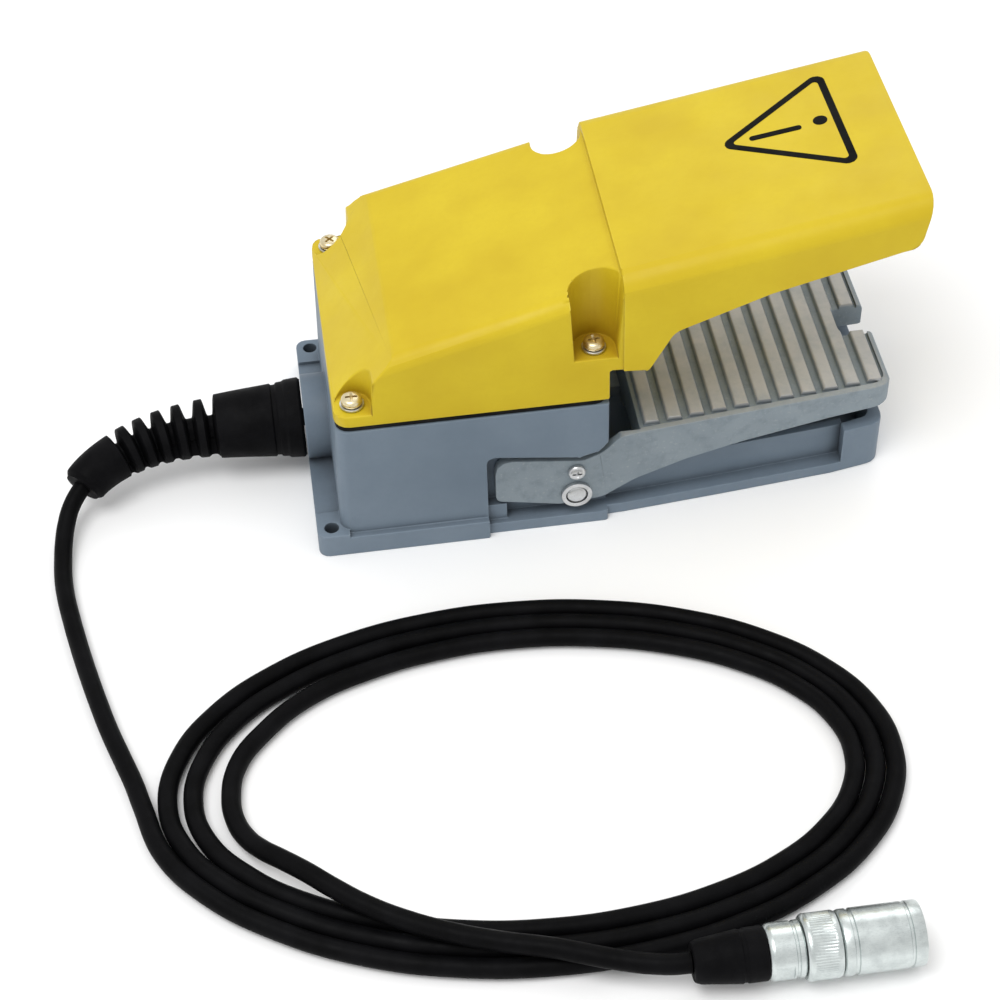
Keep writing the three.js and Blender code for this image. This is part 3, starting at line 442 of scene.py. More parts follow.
def powder_coat(name, base, shade_colour, dirt_and_shade, worn, roughness, grain_mm, grain_depth, shine=0.22):
    """Thick paint on a casting: orange-peel skin, slow changes of tone, painted shade with some dirt in
    hollows and corners, rubbed edges.
    """
    s = Shader(name)
    tone = s.blend(s.range(s.noise(38, 4), 0.35, 0.68, 0, 1), base, shade_colour)
    mottled = s.blend(s.range(s.noise(2.2, 3), 0.45, 0.8, 0, 0.28), tone, shade_colour)
    edges = s.range(s.crevice(0.7, inside=True), 0.45, 0.9, 0.6, 0)
    rubbed = s.blend(s.product(edges, s.range(s.noise(5, 5), 0.35, 0.7, 0, 1)), mottled, worn)
    # Darker in hollows up to 32 mm deep: painted shade, with some dirt.
    hollow_dirt_and_shade = s.range(s.crevice(32), 0.22, 0.78, 0.85, 0)
    stained_and_shaded = s.blend(s.product(hollow_dirt_and_shade, s.range(s.noise(11, 4), 0.3, 0.7, 0.75, 1)), rubbed, dirt_and_shade)
    # Darker in corners about 6 mm deep: painted shade, with some dirt.
    corners = s.range(s.crevice(6), 0.35, 0.8, 0.7, 0)
    s.link(
        s.blend(s.product(corners, s.range(s.noise(7, 5), 0.3, 0.7, 0.5, 1)), stained_and_shaded, dirt_and_shade),
        s.surface.inputs["Base Color"])
    sheen = s.range(s.noise(16, 4), 0.3, 0.7, roughness - 0.06, roughness + 0.1)
    s.link(sheen, s.surface.inputs["Roughness"])
    skin = s.bump(s.noise(grain_mm, 2), grain_depth, 0.5)
    s.bump(s.noise(grain_mm * 7, 3), grain_depth * 2, 0.25, under=skin)
    s.set(Specular_IOR_Level=shine)
    return s.material


def worn_pedal(name):
    """Grey paint on the pedal, blotched on its arms, darker in its corners with painted shade and some dust,
    and rubbed to warm grey on the tops of its ribs.
    """
    s = Shader(name)
    paint = s.blend(s.range(s.noise(24, 4), 0.35, 0.7, 0, 1), (0.245, 0.29, 0.32), (0.20, 0.242, 0.272))
    blotched = s.blend(s.range(s.noise(6, 4, 0.7), 0.5, 0.7, 0, 0.55), paint, (0.155, 0.19, 0.215))
    specks = s.blend(s.range(s.noise(1.1, 3), 0.6, 0.78, 0, 0.5), blotched, (0.40, 0.43, 0.43))
    # Darker in corners about 4 mm deep: painted shade, with some dust.
    corners = s.range(s.crevice(4), 0.3, 0.8, 0.85, 0)
    dust = s.product(corners, s.range(s.noise(5, 5), 0.3, 0.7, 0.55, 1))
    corner_shade_and_dust = s.blend(dust, specks, (0.12, 0.135, 0.145))
    tops = s.range(s.height(), TREAD_Z * MM, RIB_TOP_Z * MM, 0, 1)
    rubbed = s.product(tops, s.range(s.noise(9, 5, 0.7), 0.30, 0.58, 0.6, 1))
    s.link(s.blend(rubbed, corner_shade_and_dust, (0.43, 0.425, 0.415)), s.surface.inputs["Base Color"])
    s.link(s.range(rubbed, 0, 1, 0.52, 0.40), s.surface.inputs["Roughness"])
    skin = s.bump(s.noise(0.9, 2), 0.12, 0.5)
    s.bump(s.noise(5, 4), 0.2, 0.2, under=skin)
    s.set(Specular_IOR_Level=0.35, Metallic=0.1)
    return s.material


def rubber(name, base, dust, roughness):
    """Moulded rubber: fine skin, a little dust."""
    s = Shader(name)
    tone = s.blend(s.range(s.noise(14, 4), 0.4, 0.75, 0, 1), base, dust)
    s.link(s.blend(s.range(s.noise(1.6, 4), 0.55, 0.8, 0, 0.5), tone, dust), s.surface.inputs["Base Color"])
    s.link(s.range(s.noise(6, 4), 0.3, 0.7, roughness - 0.08, roughness + 0.1), s.surface.inputs["Roughness"])
    skin = s.bump(s.noise(0.7, 2), 0.06, 0.5)
    s.bump(s.noise(3.4, 3), 0.12, 0.3, under=skin)
    s.set(Specular_IOR_Level=0.05)
    return s.material


def metal(name, base, tarnish, roughness, stretch):
    """Plated or turned metal: fine drawn lines, soft stains."""
    s = Shader(name)
    stains = s.range(s.noise(5, 5, 0.65), 0.42, 0.74, 0, 0.75)
    s.link(s.blend(stains, base, tarnish), s.surface.inputs["Base Color"])
    lines = s.noise(1.1, 4, 0.6, stretch)
    s.link(s.range(lines, 0.3, 0.7, roughness - 0.07, roughness + 0.12), s.surface.inputs["Roughness"])
    s.bump(lines, 0.02, 0.5)
    s.set(Metallic=1.0)
    return s.material


def moulded(name, base, other, roughness):
    """Moulded plastic with a fine matt grain."""
    s = Shader(name)
    s.link(s.blend(s.range(s.noise(9, 4), 0.35, 0.7, 0, 1), base, other), s.surface.inputs["Base Color"])
    sheen = s.range(s.noise(3, 4), 0.3, 0.7, roughness - 0.06, roughness + 0.08)
    s.link(sheen, s.surface.inputs["Roughness"])
    s.bump(s.noise(0.8, 3), 0.05, 0.45)
    return s.material


def earth_core(name):
    """Green insulation with a yellow stripe that winds round it."""
    s = Shader(name)
    stripe = s.add("ShaderNodeTexWave", wave_type="BANDS", bands_direction="DIAGONAL")
    stripe.inputs["Scale"].default_value = 90
    stripe.inputs["Distortion"].default_value = 0.6
    s.link(s.where, stripe.inputs["Vector"])
    band = s.range(stripe.outputs["Fac"], 0.45, 0.55, 0, 1)
    s.link(s.blend(band, (0.05, 0.26, 0.05), (0.62, 0.56, 0.04)), s.surface.inputs["Base Color"])
    s.link(s.range(s.noise(3, 4), 0.3, 0.7, 0.4, 0.55), s.surface.inputs["Roughness"])
    s.bump(s.noise(0.8, 2), 0.04, 0.4)
    return s.material


def floor_material():
    """Pale seamless studio floor."""
    s = Shader("studio_floor")
    s.link(s.blend(s.noise(160, 3), (0.94, 0.94, 0.94), (0.97, 0.97, 0.97)), s.surface.inputs["Base Color"])
    s.set(Roughness=0.85, Specular_IOR_Level=0.15)
    return s.material


# In each coat the dirt colour also darkens hollows and corners as painted shade.
YELLOW = powder_coat(
    "yellow_coat", base=(0.62, 0.47, 0.018), shade_colour=(0.55, 0.395, 0.013), dirt_and_shade=(0.29, 0.145, 0.006),
    worn=(0.74, 0.62, 0.10), roughness=0.42, grain_mm=1.2, grain_depth=0.05)
BASE_GREY = powder_coat(
    "base_coat", base=(0.175, 0.222, 0.272), shade_colour=(0.142, 0.185, 0.232), dirt_and_shade=(0.05, 0.06, 0.072),
    worn=(0.33, 0.39, 0.44), roughness=0.48, grain_mm=0.8, grain_depth=0.06)
SIGN_BLACK = powder_coat(
    "sign_black", base=(0.003, 0.003, 0.003), shade_colour=(0.006, 0.006, 0.005), dirt_and_shade=(0.01, 0.008, 0.005),
    worn=(0.012, 0.012, 0.01), roughness=0.6, grain_mm=1.2, grain_depth=0.03, shine=0.06)
PEDAL_GREY = worn_pedal("pedal_coat")
CABLE_RUBBER = rubber("cable_sheath", (0.0022, 0.0022, 0.0025), (0.005, 0.005, 0.0058), 0.5)
BOOT_RUBBER = rubber("boot_rubber", (0.0024, 0.0024, 0.0029), (0.006, 0.006, 0.0068), 0.58)
GASKET_RUBBER = rubber("gasket_rubber", (0.008, 0.008, 0.008), (0.02, 0.02, 0.02), 0.7)
NICKEL = metal("satin_nickel", (0.66, 0.71, 0.70), (0.44, 0.48, 0.48), 0.30, (1, 9, 9))
STEEL = metal("zinc_steel", (0.64, 0.65, 0.66), (0.42, 0.42, 0.41), 0.32, (6, 6, 1))
ZINC_YELLOW = metal("yellow_zinc", (0.80, 0.70, 0.46), (0.58, 0.44, 0.22), 0.30, (6, 6, 1))
SPRING_STEEL = metal("spring_steel", (0.46, 0.46, 0.47), (0.28, 0.27, 0.25), 0.30, (6, 6, 6))
BRASS = metal("turned_brass", (0.72, 0.52, 0.22), (0.50, 0.34, 0.12), 0.28, (6, 6, 1))
PHENOLIC = moulded("black_phenolic", (0.022, 0.017, 0.015), (0.034, 0.026, 0.022), 0.48)
INSULATOR = moulded("insulator", (0.02, 0.02, 0.021), (0.032, 0.032, 0.034), 0.45)
PLUNGER_RED = moulded("plunger_red", (0.42, 0.03, 0.02), (0.33, 0.025, 0.02), 0.4)
BROWN_CORE = moulded("brown_core", (0.16, 0.06, 0.025), (0.12, 0.045, 0.02), 0.45)
BLUE_CORE = moulded("blue_core", (0.03, 0.13, 0.42), (0.025, 0.10, 0.33), 0.45)
EARTH_CORE = earth_core("earth_core")


# ---------- cable ----------

ROUTE_STEPS = 400
SHEATH_STEPS = 60


def coil_point(degrees, inset, height=LIE_Z):
    """A point of the cable's centre line, a distance inside the coil's outermost strand."""
    angle = math.radians(degrees)
    point = Vector(((COIL_A - inset) * math.cos(angle), (COIL_B - inset) * math.sin(angle)))
    point.rotate(Matrix.Rotation(COIL_TURN, 2))
    return (*(COIL_CENTRE + point), height)


def coil_inset(degrees):
    """How far inside the outermost centre line the cable lies after these degrees of winding."""
    for (start, low), (end, high) in zip(COIL_INSETS, COIL_INSETS[1:]):
        if degrees <= end:
            return low + (high - low) * ramp(degrees, start, end)
    return COIL_INSETS[-1][1]


def cable_route():
    """The whole cable's centre line: lead, coil, and the end that crosses over its front strands."""
    turns = []
    degrees = COIL_INSETS[0][0]
    while degrees < COIL_INSETS[-1][0]:
        turns.append(coil_point(degrees, coil_inset(degrees)))
        degrees += COIL_STEP
    end = [coil_point(*spot) for spot in TAIL_ON_COIL] + TAIL_OFF_COIL
    return [Vector(p) for p in LEAD_POINTS + turns + end]


def add_cable():
    """The cable as a curve with a round section, in place of the three cord nodes."""
    points = cable_route()
    curve = bpy.data.curves.new("cable", "CURVE")
    curve.dimensions = "3D"
    curve.resolution_u = 10
    curve.bevel_depth = CABLE_R * MM
    curve.bevel_resolution = 6
    curve.use_fill_caps = True
    line = curve.splines.new("BEZIER")
    line.bezier_points.add(len(points) - 1)
    for knot, point in zip(line.bezier_points, points):
        knot.co = point * MM
        knot.handle_left_type = "AUTO"
        knot.handle_right_type = "AUTO"
    curve.materials.append(CABLE_RUBBER)
    cable = bpy.data.objects.new("cable", curve)
    bpy.context.collection.objects.link(cable)
    return stand_in(cable, "cord_lead", "cord_coil", "cord_tail")


def add_inner_sheath():
    """The part of the cable inside the box, the gland and the bend protector."""
    points = [(CABLE_END_X, 0, CABLE_Z), (-100, 0, CABLE_Z)] + BOOT_LINE[:7]
    line, total = evenly(points, SHEATH_STEPS)
    mesh_data = swept(line, total / SHEATH_STEPS, 32, lambda distance, angle: CABLE_R)
    sheath = new_piece("inner_sheath", mesh_data, CABLE_RUBBER)
    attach(sheath, "base")


# ---------- copies of CAD nodes, with rounded edges ----------

MERGE_DISTANCE = 0.02
SLIVER_WIDTH = 0.1
FLAT_ANGLE = 0.1  # degrees; faces that meet at less are one flat face
ROOM_NEEDED = 1.6  # how far a face has to reach beside an edge, in widths of its rounding
SHARP_ANGLE = 32  # degrees; edges sharper than this stay sharp in shading


def cad_mesh(node):
    """A CAD node's mesh in millimetres."""
    mesh_data = bmesh.new()
    mesh_data.from_mesh(frame["nodes"][node].data)
    bmesh.ops.scale(mesh_data, vec=(1 / MM, 1 / MM, 1 / MM), verts=mesh_data.verts)
    return mesh_data


def cleaned_mesh(node):
    """A CAD node's mesh, cleared of slivers and with its flat faces cut into few triangles."""
    mesh_data = cad_mesh(node)
    bmesh.ops.remove_doubles(mesh_data, verts=mesh_data.verts, dist=MERGE_DISTANCE)
    bmesh.ops.dissolve_degenerate(mesh_data, edges=mesh_data.edges, dist=SLIVER_WIDTH)
    bmesh.ops.dissolve_limit(
        mesh_data, angle_limit=math.radians(FLAT_ANGLE), verts=mesh_data.verts, edges=mesh_data.edges)
    bmesh.ops.triangulate(mesh_data, faces=mesh_data.faces)
    return mesh_data


def reach_beside(edge, face):
    """How far a face reaches away from one of its edges."""
    start = edge.verts[0].co
    along = (edge.verts[1].co - start).normalized()
    inward = face.normal.cross(along)
    return max(abs((vert.co - start).dot(inward)) for vert in face.verts)


def weigh_edges(mesh_data, width, angle):
    """Gives a bevel weight to the sharp edges that have room for the rounding on both sides."""
    weight = mesh_data.edges.layers.float.new("bevel_weight_edge")
    for edge in mesh_data.edges:
        if len(edge.link_faces) == 2 and edge.calc_face_angle() > math.radians(angle):
            room = min(reach_beside(edge, face) for face in edge.link_faces)
            edge[weight] = 1.0 if room > ROOM_NEEDED * width else 0.0


def rounded_copy(node, name, material, width, angle=28):
    """A CAD node whose edges sharper than the angle are rounded by a width in millimetres."""
    mesh_data = cleaned_mesh(node)
    weigh_edges(mesh_data, width, angle)
    piece = new_piece(name, mesh_data, material, SHARP_ANGLE)
    bevel = piece.modifiers.new("round", "BEVEL")
    bevel.width = width * MM
    bevel.segments = 2
    bevel.limit_method = "WEIGHT"
    bevel.use_clamp_overlap = False
    apply_modifiers(piece)
    shade(piece, SHARP_ANGLE)
    piece.modifiers.new("even_shading", "WEIGHTED_NORMAL").keep_sharp = True
    apply_modifiers(piece)
    return stand_in(piece, node)


def smooth_tube(node, name, material):
    """A CAD tube of few sides, made round by one subdivision."""
    piece = new_piece(name, cad_mesh(node), material, 75)
    piece.modifiers.new("round", "SUBSURF").levels = 1
    apply_modifiers(piece)
    shade(piece, 60)
    return stand_in(piece, node)


# ---------- bend protector ----------

BOOT_STEPS = 340
BOOT_LENGTH = 94.5
BOOT_ROOT = 34.5  # length of its plain root
BOOT_BLOCK = 75.5  # its plain end block starts here
BOOT_TIP = 2.2  # length of its rounded tip
FINGER_SPOTS = (40.7, 49.1, 56.6, 63.6, 70.3)  # middles of the fingers, along the protector
FINGER_TOP = 1.3  # half the length of a finger at its top
FINGER_FOOT = 3.2  # and at its foot
SLOT_BLEND = 1.4  # length over which a slot deepens beside the root and the block
BOOT_CORE_R = 4.8
SPINE_LOW = 1  # how far the spine lies below the fingers' tops

# Radius at the start of each stretch, and what it loses along the stretch.
BOOT_ROOT_R = 15.6
BOOT_ROOT_TAPER = 2.8
FINGER_R = 12
FINGER_TAPER = 2.5
BOOT_BLOCK_R = 9.4
BOOT_BLOCK_TAPER = 0.8


def boot_radius(distance, angle):
    """Plain tapered root, then tall fingers on a spine along the underside, then a plain end block."""
    if distance < BOOT_ROOT:
        radius = BOOT_ROOT_R - BOOT_ROOT_TAPER * distance / BOOT_ROOT
        collar = 0.5 * (1 - ramp(distance, 6.2, 7.4))
        groove = 0.7 * (ramp(distance, 9.5, 10.3) - ramp(distance, 11.5, 12.3))
        return (radius + collar - groove) * (0.94 + 0.06 * ramp(distance, 0, 1.2))
    if distance < BOOT_BLOCK:
        outer = FINGER_R - FINGER_TAPER * (distance - BOOT_ROOT) / (BOOT_BLOCK - BOOT_ROOT)
    else:
        outer = BOOT_BLOCK_R - BOOT_BLOCK_TAPER * (distance - BOOT_BLOCK) / (BOOT_LENGTH - BOOT_BLOCK)
    tip = 1 - 0.16 * ramp(distance, BOOT_LENGTH - BOOT_TIP, BOOT_LENGTH)
    root = 1 - ramp(distance, BOOT_ROOT, BOOT_ROOT + SLOT_BLEND)
    block = ramp(distance, BOOT_BLOCK - SLOT_BLEND, BOOT_BLOCK)
    tooth = max(root, block)
    for spot in FINGER_SPOTS:
        tooth = max(tooth, 1 - ramp(abs(distance - spot), FINGER_TOP, FINGER_FOOT))
    slotted = ramp(math.sin(angle), -0.72, -0.5)
    low = outer - SPINE_LOW + (BOOT_CORE_R - outer + SPINE_LOW) * slotted
    return (low + (outer - low) * tooth) * tip


def add_bend_protector():
    """The ribbed protector, swept along its bent centre line."""
    line, total = evenly(BOOT_LINE, BOOT_STEPS)
    step = total / BOOT_STEPS
    shown = line[:round(BOOT_LENGTH / step) + 1]
    mesh_data = swept(shown, step, 72, boot_radius)
    stand_in(new_piece("bend_protector_body", mesh_data, BOOT_RUBBER, 40), "bend_protector")


# ---------- fasteners ----------

def cross_cutter(width, length, depth, top):
    """A cross-shaped driver recess with tapering sides, pointing down from top."""
    w, l = width / 2, length / 2
    cross = [
        (l, -w), (l, w), (w, w), (w, l), (-w, l), (-w, w),
        (-l, w), (-l, -w), (-w, -w), (-w, -l), (w, -l), (w, -w),
    ]
    mesh_data = bmesh.new()
    low = add_ring(mesh_data, [(x * 0.6, y * 0.6, top - depth) for x, y in cross])
    high = add_ring(mesh_data, [(x * 1.15, y * 1.15, top + depth / 2) for x, y in cross])
    join_rings(mesh_data, low, high)
    mesh_data.faces.new(low)
    mesh_data.faces.new(high)
    return mesh_data


def slot_cutter(width, length, depth, top):
    """A straight driver slot, pointing down from top."""
    mesh_data = bmesh.new()
    bmesh.ops.create_cube(mesh_data, size=1)
    bmesh.ops.scale(mesh_data, vec=(length, width, depth * 2), verts=mesh_data.verts)
    bmesh.ops.translate(mesh_data, vec=(0, 0, top), verts=mesh_data.verts)
    return mesh_data


def cut_recess(piece, position, axis, head_r, head_h, slotted):
    """Cuts a driver recess into a screw head that stands on position; each screw stops at its own angle."""
    if slotted:
        cutter_data = slot_cutter(head_r * 0.25, head_r * 3, head_h * 0.5, head_h)
    else:
        cutter_data = cross_cutter(head_r * 0.26, head_r * 1.2, head_h * 0.62, head_h)
    turn = (position[0] * 0.37 + position[1] * 0.71 + position[2] * 0.13) % math.pi
    bmesh.ops.rotate(
        cutter_data, cent=(0, 0, 0), matrix=Matrix.Rotation(turn, 3, "Z"), verts=cutter_data.verts)
    cutter = new_piece("cutter", place(cutter_data, position, axis), STEEL)
    cut(piece, cutter)
    shade(piece, 38)


def pan_head_profile(shank_r, head_r, head_h, length):
    """A pan head's outline from the shank's tip to the middle of the head's top."""
    return [
        (0, -length), (shank_r * 0.75, -length), (shank_r, -length + 0.6), (shank_r, -0.1), (shank_r, 0),
        (head_r - 0.15, 0), (head_r, 0.2), (head_r, head_h * 0.45), (head_r * 0.96, head_h * 0.68),
        (head_r * 0.85, head_h * 0.87), (head_r * 0.62, head_h * 0.97), (head_r * 0.3, head_h), (0, head_h),
    ]


def add_screw(name, node, position, axis, sizes, material, slotted=False):
    """A pan-head screw; sizes are shank radius, head radius, head height and length."""
    mesh_data = place(turned(pan_head_profile(*sizes), 40), position, axis)
    piece = new_piece(name, mesh_data, material, 38)
    cut_recess(piece, position, axis, sizes[1], sizes[2], slotted)
    return stand_in(piece, node)


def add_washer(name, node, position, inner, outer, thickness, material, axis="Z"):
    """A flat ring with broken edges, from its inner and outer radius."""
    edge = 0.15
    profile = [
        (inner, edge), (inner + edge, 0), (outer - edge, 0), (outer, edge), (outer, thickness - edge),
        (outer - edge, thickness), (inner + edge, thickness), (inner, thickness - edge),
    ]
    mesh_data = place(turned(profile, 48), position, axis)
    return stand_in(new_piece(name, mesh_data, material, 30), node)


def add_hood_fasteners():
    """The hood's four screws and washers."""
    number = 1
    for x, y, floor_z in HOOD_SCREWS:
        for side in (-1, 1):
            spot = (x, side * y, floor_z + GAP)
            add_washer(
                f"cover_washer_{number}", f"hood_washer_{number}", spot, 2.5, 4.6, HOOD_WASHER_H, STEEL)
            head_z = floor_z + 2 * GAP + HOOD_WASHER_H
            add_screw(
                f"cover_screw_{number}", f"hood_screw_{number}", (x, side * y, head_z), "Z",
                (2.2, 4, 2.8, head_z - HOOD_SCREW_TIP_Z), ZINC_YELLOW)
            number += 1


def add_pivot():
    """The axle with a domed end on each side, its retaining rings, and the stop screws in the arms."""
    end = ARM_OUT + AXLE_OUT
    dome = [(0, 0), (AXLE_R - 1.1, 0), (AXLE_R - 0.4, 0.25), (AXLE_R, 0.8)]
    profile = [(r, inward - end) for r, inward in dome]
    profile += [(r, end - inward) for r, inward in reversed(dome)]
    mesh_data = place(turned(profile, 48), (PIVOT_X, 0, PIVOT_Z), "Y")
    stand_in(new_piece("axle", mesh_data, STEEL, 40), "pivot_axle")
    for side, where, axis in ((-1, "near", "-Y"), (1, "far", "Y")):
        y = side * (ARM_OUT + GAP)
        spot = (PIVOT_X, y, PIVOT_Z)
        add_washer(f"axle_clip_{where}", f"axle_ring_{where}", spot, AXLE_R + GAP, 6, 1.5, STEEL, axis)
        spot = (PIVOT_X, y, PIVOT_Z + STOP_SCREW_UP)
        add_screw(f"arm_screw_{where}", f"stop_screw_{where}", spot, axis, (1.5, 3.4, 2.2, 4), STEEL)


def add_switch_fasteners():
    """The screws of the switch, its bracket, its terminals and the earth."""
    for x, where in zip(SWITCH_SCREWS_X, ("rear", "front")):
        spot = (x, SWITCH_SCREW_Y, SWITCH_SCREW_Z)
        add_screw(
            f"switch_bolt_{where}", f"switch_screw_{where}", spot, "-Y", (2.1, 3.8, 2.6, 22), STEEL,
            slotted=True)
    for x, where in zip(BRACKET_SCREWS_X, ("rear", "front")):
        spot = (x, BRACKET_SCREW_Y, BRACKET_SCREW_Z)
        add_screw(f"bracket_bolt_{where}", f"bracket_screw_{where}", spot, "Z", (1.6, 3.2, 2.4, 7.8), STEEL)
    add_screw("earth_bolt", "earth_screw", EARTH_SCREW_SPOT, "Z", (1.6, 3.2, 2.4, 5.5), BRASS, slotted=True)
    for x, where in zip(TERMINALS_X, ("rear", "front")):
        piece = rounded_copy(f"terminal_screw_{where}", f"terminal_bolt_{where}", BRASS, 0.15, angle=40)
        cut_recess(piece, (x, 0, TERMINAL_Z), "Z", 3.4, 2.8, slotted=True)


# ---------- return spring ----------

SPRING_STEPS = 420


def add_return_spring():
    """A helical spring under the pedal, rising from its seat."""
    count = round(22 * SPRING_TURNS)
    points = []
    for i in range(count + 1):
        share = i / count
        angle = 2 * math.pi * SPRING_TURNS * share
        z = SPRING_LOW + (SPRING_HIGH - SPRING_LOW) * share
        points.append((SPRING_X + SPRING_COIL_R * math.cos(angle), SPRING_COIL_R * math.sin(angle), z))
    line, total = evenly(points, SPRING_STEPS)
    mesh_data = swept(line, total / SPRING_STEPS, 14, lambda distance, angle: SPRING_WIRE_R)
    spring = stand_in(new_piece("spring", mesh_data, SPRING_STEEL, 50), "return_spring")
    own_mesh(spring)


# ---------- connector ----------

PIN_COUNT = 4
PIN_CIRCLE_R = 3


def add_connector_piece(name, node, profile, material, sides=96, wave=None):
    """A turned piece on the connector's axis, from (x, radius) points."""
    mesh_data = turned([(r, x) for x, r in profile], sides, wave)
    place(mesh_data, (0, CONNECTOR_Y, CONNECTOR_Z), "X")
    return stand_in(new_piece(name, mesh_data, material, 30), node)


def knurl(start, end, depth, teeth):
    """A wave for turned() that cuts fine teeth between two heights, in outer surfaces only."""
    def wave(angle, r, h):
        if start < h < end and r > 8.5:
            return r - depth * (0.5 + 0.5 * math.cos(teeth * angle))
        return r
    return wave


def spanner_flats(start, end, reach):
    """A wave for turned() that cuts two opposite flats between two heights."""
    def wave(angle, r, h):
        if start < h < end and r > reach:
            return min(r, reach / max(abs(math.sin(angle)), 0.01))
        return r
    return wave


def add_connector():
    """The connector from its rubber sleeve to its pins, with every part turned about one axis."""
    r = CONNECTOR_R
    add_connector_piece("plug_sleeve", "connector_sleeve", [
        (SLEEVE_X, 3.8), (SLEEVE_X, 6.2), (-9.2, 6.6), (-7.5, 7.3), (4.5, 8.7), (6, 8.9), (6.5, 8.6),
        (7.5, 8.6), (8, 8.95), (14.1, 9), (14.5, 8.7), (14.5, 3.8)], BOOT_RUBBER)
    add_connector_piece("plug_nut", "connector_clamp_nut", [
        (14.8, 5), (14.8, 8.5), (15.6, 9.2), (16.4, 9.4), (16.5, 9.4), (22.4, 9.4), (22.5, 9.4), (23.2, 9.4),
        (23.5, 9), (24.2, 9), (24.5, 9.4), (26, 9.4), (26.5, 9), (26.5, 5)],
        NICKEL, wave=spanner_flats(16.45, 22.45, 8.7))
    add_connector_piece("plug_body", "connector_body", [
        (26.8, 5.6), (26.8, r - 0.8), (27.2, r - 0.3), (27.8, r), (28.8, r), (29, r), (36.2, r), (36.4, r),
        (37.6, r), (38.2, r - 0.3), (38.5, r - 0.8), (38.5, 8), (54, 8), (54, 5.6)],
        NICKEL, sides=384, wave=knurl(28.9, 36.3, 0.2, 64))
    ring_r = r - 0.1
    add_connector_piece("plug_ring", "connector_coupling_ring", [
        (38.8, 8.4), (38.8, ring_r - 0.8), (39.2, ring_r - 0.25), (39.9, ring_r), (42, ring_r),
        (42.3, ring_r - 0.5), (43.3, ring_r - 0.5), (43.6, ring_r), (60.5, ring_r), (60.8, ring_r - 0.45),
        (61.6, ring_r - 0.45), (61.9, ring_r), (65.2, ring_r), (65.8, ring_r - 0.2), (66, ring_r - 0.7),
        (66, 9.4), (54.6, 9.4), (54.6, 8.4)], NICKEL)
    add_connector_piece("plug_insert", "connector_insert", [
        (41, 0), (41, 5.1), (41.2, 5.3), (55.4, 5.3), (56, 4.9), (56, 0)], INSULATOR)
    profile = [(0, 56.3), (0.8, 56.3), (0.8, 61.6), (0.7, 62.1), (0.4, 62.45), (0, 62.5)]
    for k in range(PIN_COUNT):
        angle = 2 * math.pi * (k + 0.5) / PIN_COUNT
        y = CONNECTOR_Y + PIN_CIRCLE_R * math.cos(angle)
        z = CONNECTOR_Z + PIN_CIRCLE_R * math.sin(angle)
        mesh_data = place(turned(profile, 20), (0, y, z), "X")
        stand_in(new_piece(f"plug_pin_{k + 1}", mesh_data, BRASS, 40), f"connector_pin_{k + 1}")


# ---------- sign on the guard ----------

SIGN_CORNERS = [Vector((54.4, 10.1)), Vector((96.7, 38.1)), Vector((97.2, -18.2))]
SIGN_STROKE = 2.8
SIGN_BAR = (Vector((64, 10.3)), Vector((83.6, 9.8)))
BAR_HALF = 1.4
SIGN_DOT = Vector((90.9, 10.9))
DOT_R = 2.7
DOT_SIDES = 28
ARC_STEPS = 6


def offset_triangle(corners, outward):
    """The triangle with every side moved outward by a distance."""
    sides = [(corners[(i + 1) % 3] - corners[(i + 2) % 3]).length for i in range(3)]
    around = sum(sides)
    middle = sum((corner * side for corner, side in zip(corners, sides)), Vector((0, 0))) / around
    area = abs((corners[1] - corners[0]).cross(corners[2] - corners[0])) / 2
    inner_r = 2 * area / around
    return [middle + (corner - middle) * (1 + outward / inner_r) for corner in corners]


def rounded_outline(corners, radius):
    """The corners of a closed outline, each turned into an arc."""
    outline = []
    for i, corner in enumerate(corners):
        back = (corners[i - 1] - corner).normalized()
        ahead = (corners[(i + 1) % len(corners)] - corner).normalized()
        half = back.angle(ahead) / 2
        centre = corner + (back + ahead).normalized() * (radius / math.sin(half))
        start = corner + back * (radius / math.tan(half)) - centre
        end = corner + ahead * (radius / math.tan(half)) - centre
        for k in range(ARC_STEPS + 1):
            outline.append(centre + start.lerp(end, k / ARC_STEPS).normalized() * radius)
    return outline


def on_guard(point, lift):
    """A point over the guard's sloping top, lifted by a distance."""
    return (point.x, point.y, GUARD_TOP_Z + (point.x - GUARD_X) * GUARD_SLOPE + lift)


def add_flat_shape(mesh_data, outline, low, high):
    """A thin closed plate with the outline, parallel to the guard's top."""
    below = add_ring(mesh_data, [on_guard(p, low) for p in outline])
    above = add_ring(mesh_data, [on_guard(p, high) for p in outline])
    join_rings(mesh_data, below, above)
    mesh_data.faces.new(below)
    mesh_data.faces.new(above)


def add_sign():
    """A plain triangle with a bar and a dot, in raised black paint."""
    low, high = -0.05, 0.1
    mesh_data = bmesh.new()
    outer = rounded_outline(offset_triangle(SIGN_CORNERS, SIGN_STROKE / 2), 3.4)
    inner = rounded_outline(offset_triangle(SIGN_CORNERS, -SIGN_STROKE / 2), 1.4)
    rings = [add_ring(mesh_data, [on_guard(p, lift) for p in outline])
             for outline, lift in ((outer, low), (outer, high), (inner, high), (inner, low))]
    for k, ring in enumerate(rings):
        join_rings(mesh_data, ring, rings[(k + 1) % 4])
    start, end = SIGN_BAR
    across = Vector((end.y - start.y, start.x - end.x)).normalized() * BAR_HALF
    bar = [start - across, end - across, end + across, start + across]
    add_flat_shape(mesh_data, rounded_outline(bar, 1.2), low, high)
    angles = [2 * math.pi * k / DOT_SIDES for k in range(DOT_SIDES)]
    dot = [SIGN_DOT + Vector((math.cos(a), math.sin(a))) * DOT_R for a in angles]
    add_flat_shape(mesh_data, dot, low, high)
    sign = new_piece("guard_sign", mesh_data, SIGN_BLACK, 30)
    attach(sign, "base")


# ---------- light and floor ----------

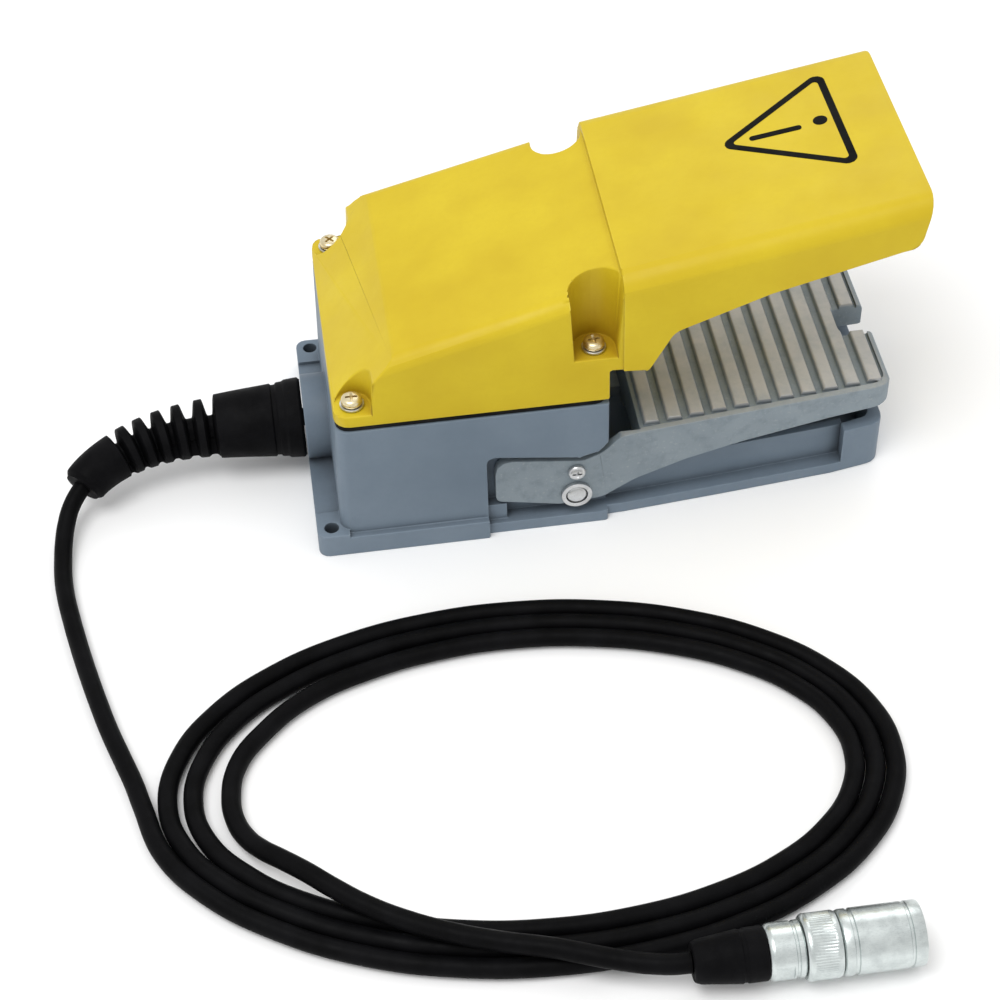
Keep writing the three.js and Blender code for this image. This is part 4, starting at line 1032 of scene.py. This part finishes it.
def add_floor():
    """A wide floor that belongs to the studio, not to the object."""
    mesh_data = bmesh.new()
    bmesh.ops.create_grid(mesh_data, x_segments=1, y_segments=1, size=6)
    mesh = bpy.data.meshes.new("floor")
    mesh_data.to_mesh(mesh)
    mesh_data.free()
    floor = bpy.data.objects.new("floor", mesh)
    bpy.context.collection.objects.link(floor)
    mesh.materials.append(floor_material())


def add_light(name, position, target, size, power):
    """A round area light that points at the target."""
    data = bpy.data.lights.new(name, "AREA")
    data.shape = "DISK"
    data.size = size
    data.energy = power
    light = bpy.data.objects.new(name, data)
    bpy.context.collection.objects.link(light)
    light.location = position
    light.rotation_euler = (Vector(target) - Vector(position)).to_track_quat("-Z", "Y").to_euler()


def add_studio():
    """White surroundings, a soft key light from the upper left, and colours shown as they are."""
    world = bpy.data.worlds.new("studio")
    world.use_nodes = True
    world.node_tree.nodes["Background"].inputs["Color"].default_value = (1, 1, 1, 1)
    world.node_tree.nodes["Background"].inputs["Strength"].default_value = 0.84
    bpy.context.scene.world = world
    bpy.context.scene.view_settings.view_transform = "Standard"
    add_light("key", (-0.5, -0.5, 1.6), (0, -0.05, 0), 1.0, 13)
    add_light("back", (0.4, 1.1, 1.1), (0, 0, 0.05), 0.9, 3)
    add_floor()


# ---------- everything ----------

add_camera()
cable = add_cable()
add_inner_sheath()
add_bend_protector()
rounded_copy("base_casting", "base_box", BASE_GREY, 0.5)
rounded_copy("hood_casting", "hood", YELLOW, 0.7)
rounded_copy("pedal_casting", "pedal_plate", PEDAL_GREY, 0.35)
rounded_copy("hood_gasket", "gasket", GASKET_RUBBER, 0.25)
add_hood_fasteners()
add_pivot()
rounded_copy("striker_bolt", "striker", STEEL, 0.35)
rounded_copy("striker_locknut", "striker_nut", STEEL, 0.35)
rounded_copy("switch_case", "switch_body", PHENOLIC, 0.35)
rounded_copy("switch_plunger", "switch_pin", PLUNGER_RED, 0.2)
rounded_copy("switch_bracket", "bracket", STEEL, 0.25, angle=40)
rounded_copy("gland_sleeve", "gland_tube", NICKEL, 0.3, angle=35)
rounded_copy("gland_nut", "gland_hexagon", NICKEL, 0.6, angle=35)
add_switch_fasteners()
smooth_tube("wire_brown", "core_brown", BROWN_CORE)
smooth_tube("wire_blue", "core_blue", BLUE_CORE)
smooth_tube("wire_earth", "core_earth", EARTH_CORE)
add_return_spring()
add_connector()
add_sign()
evenly(cable_route(), ROUTE_STEPS)[1] * MM
add_studio()
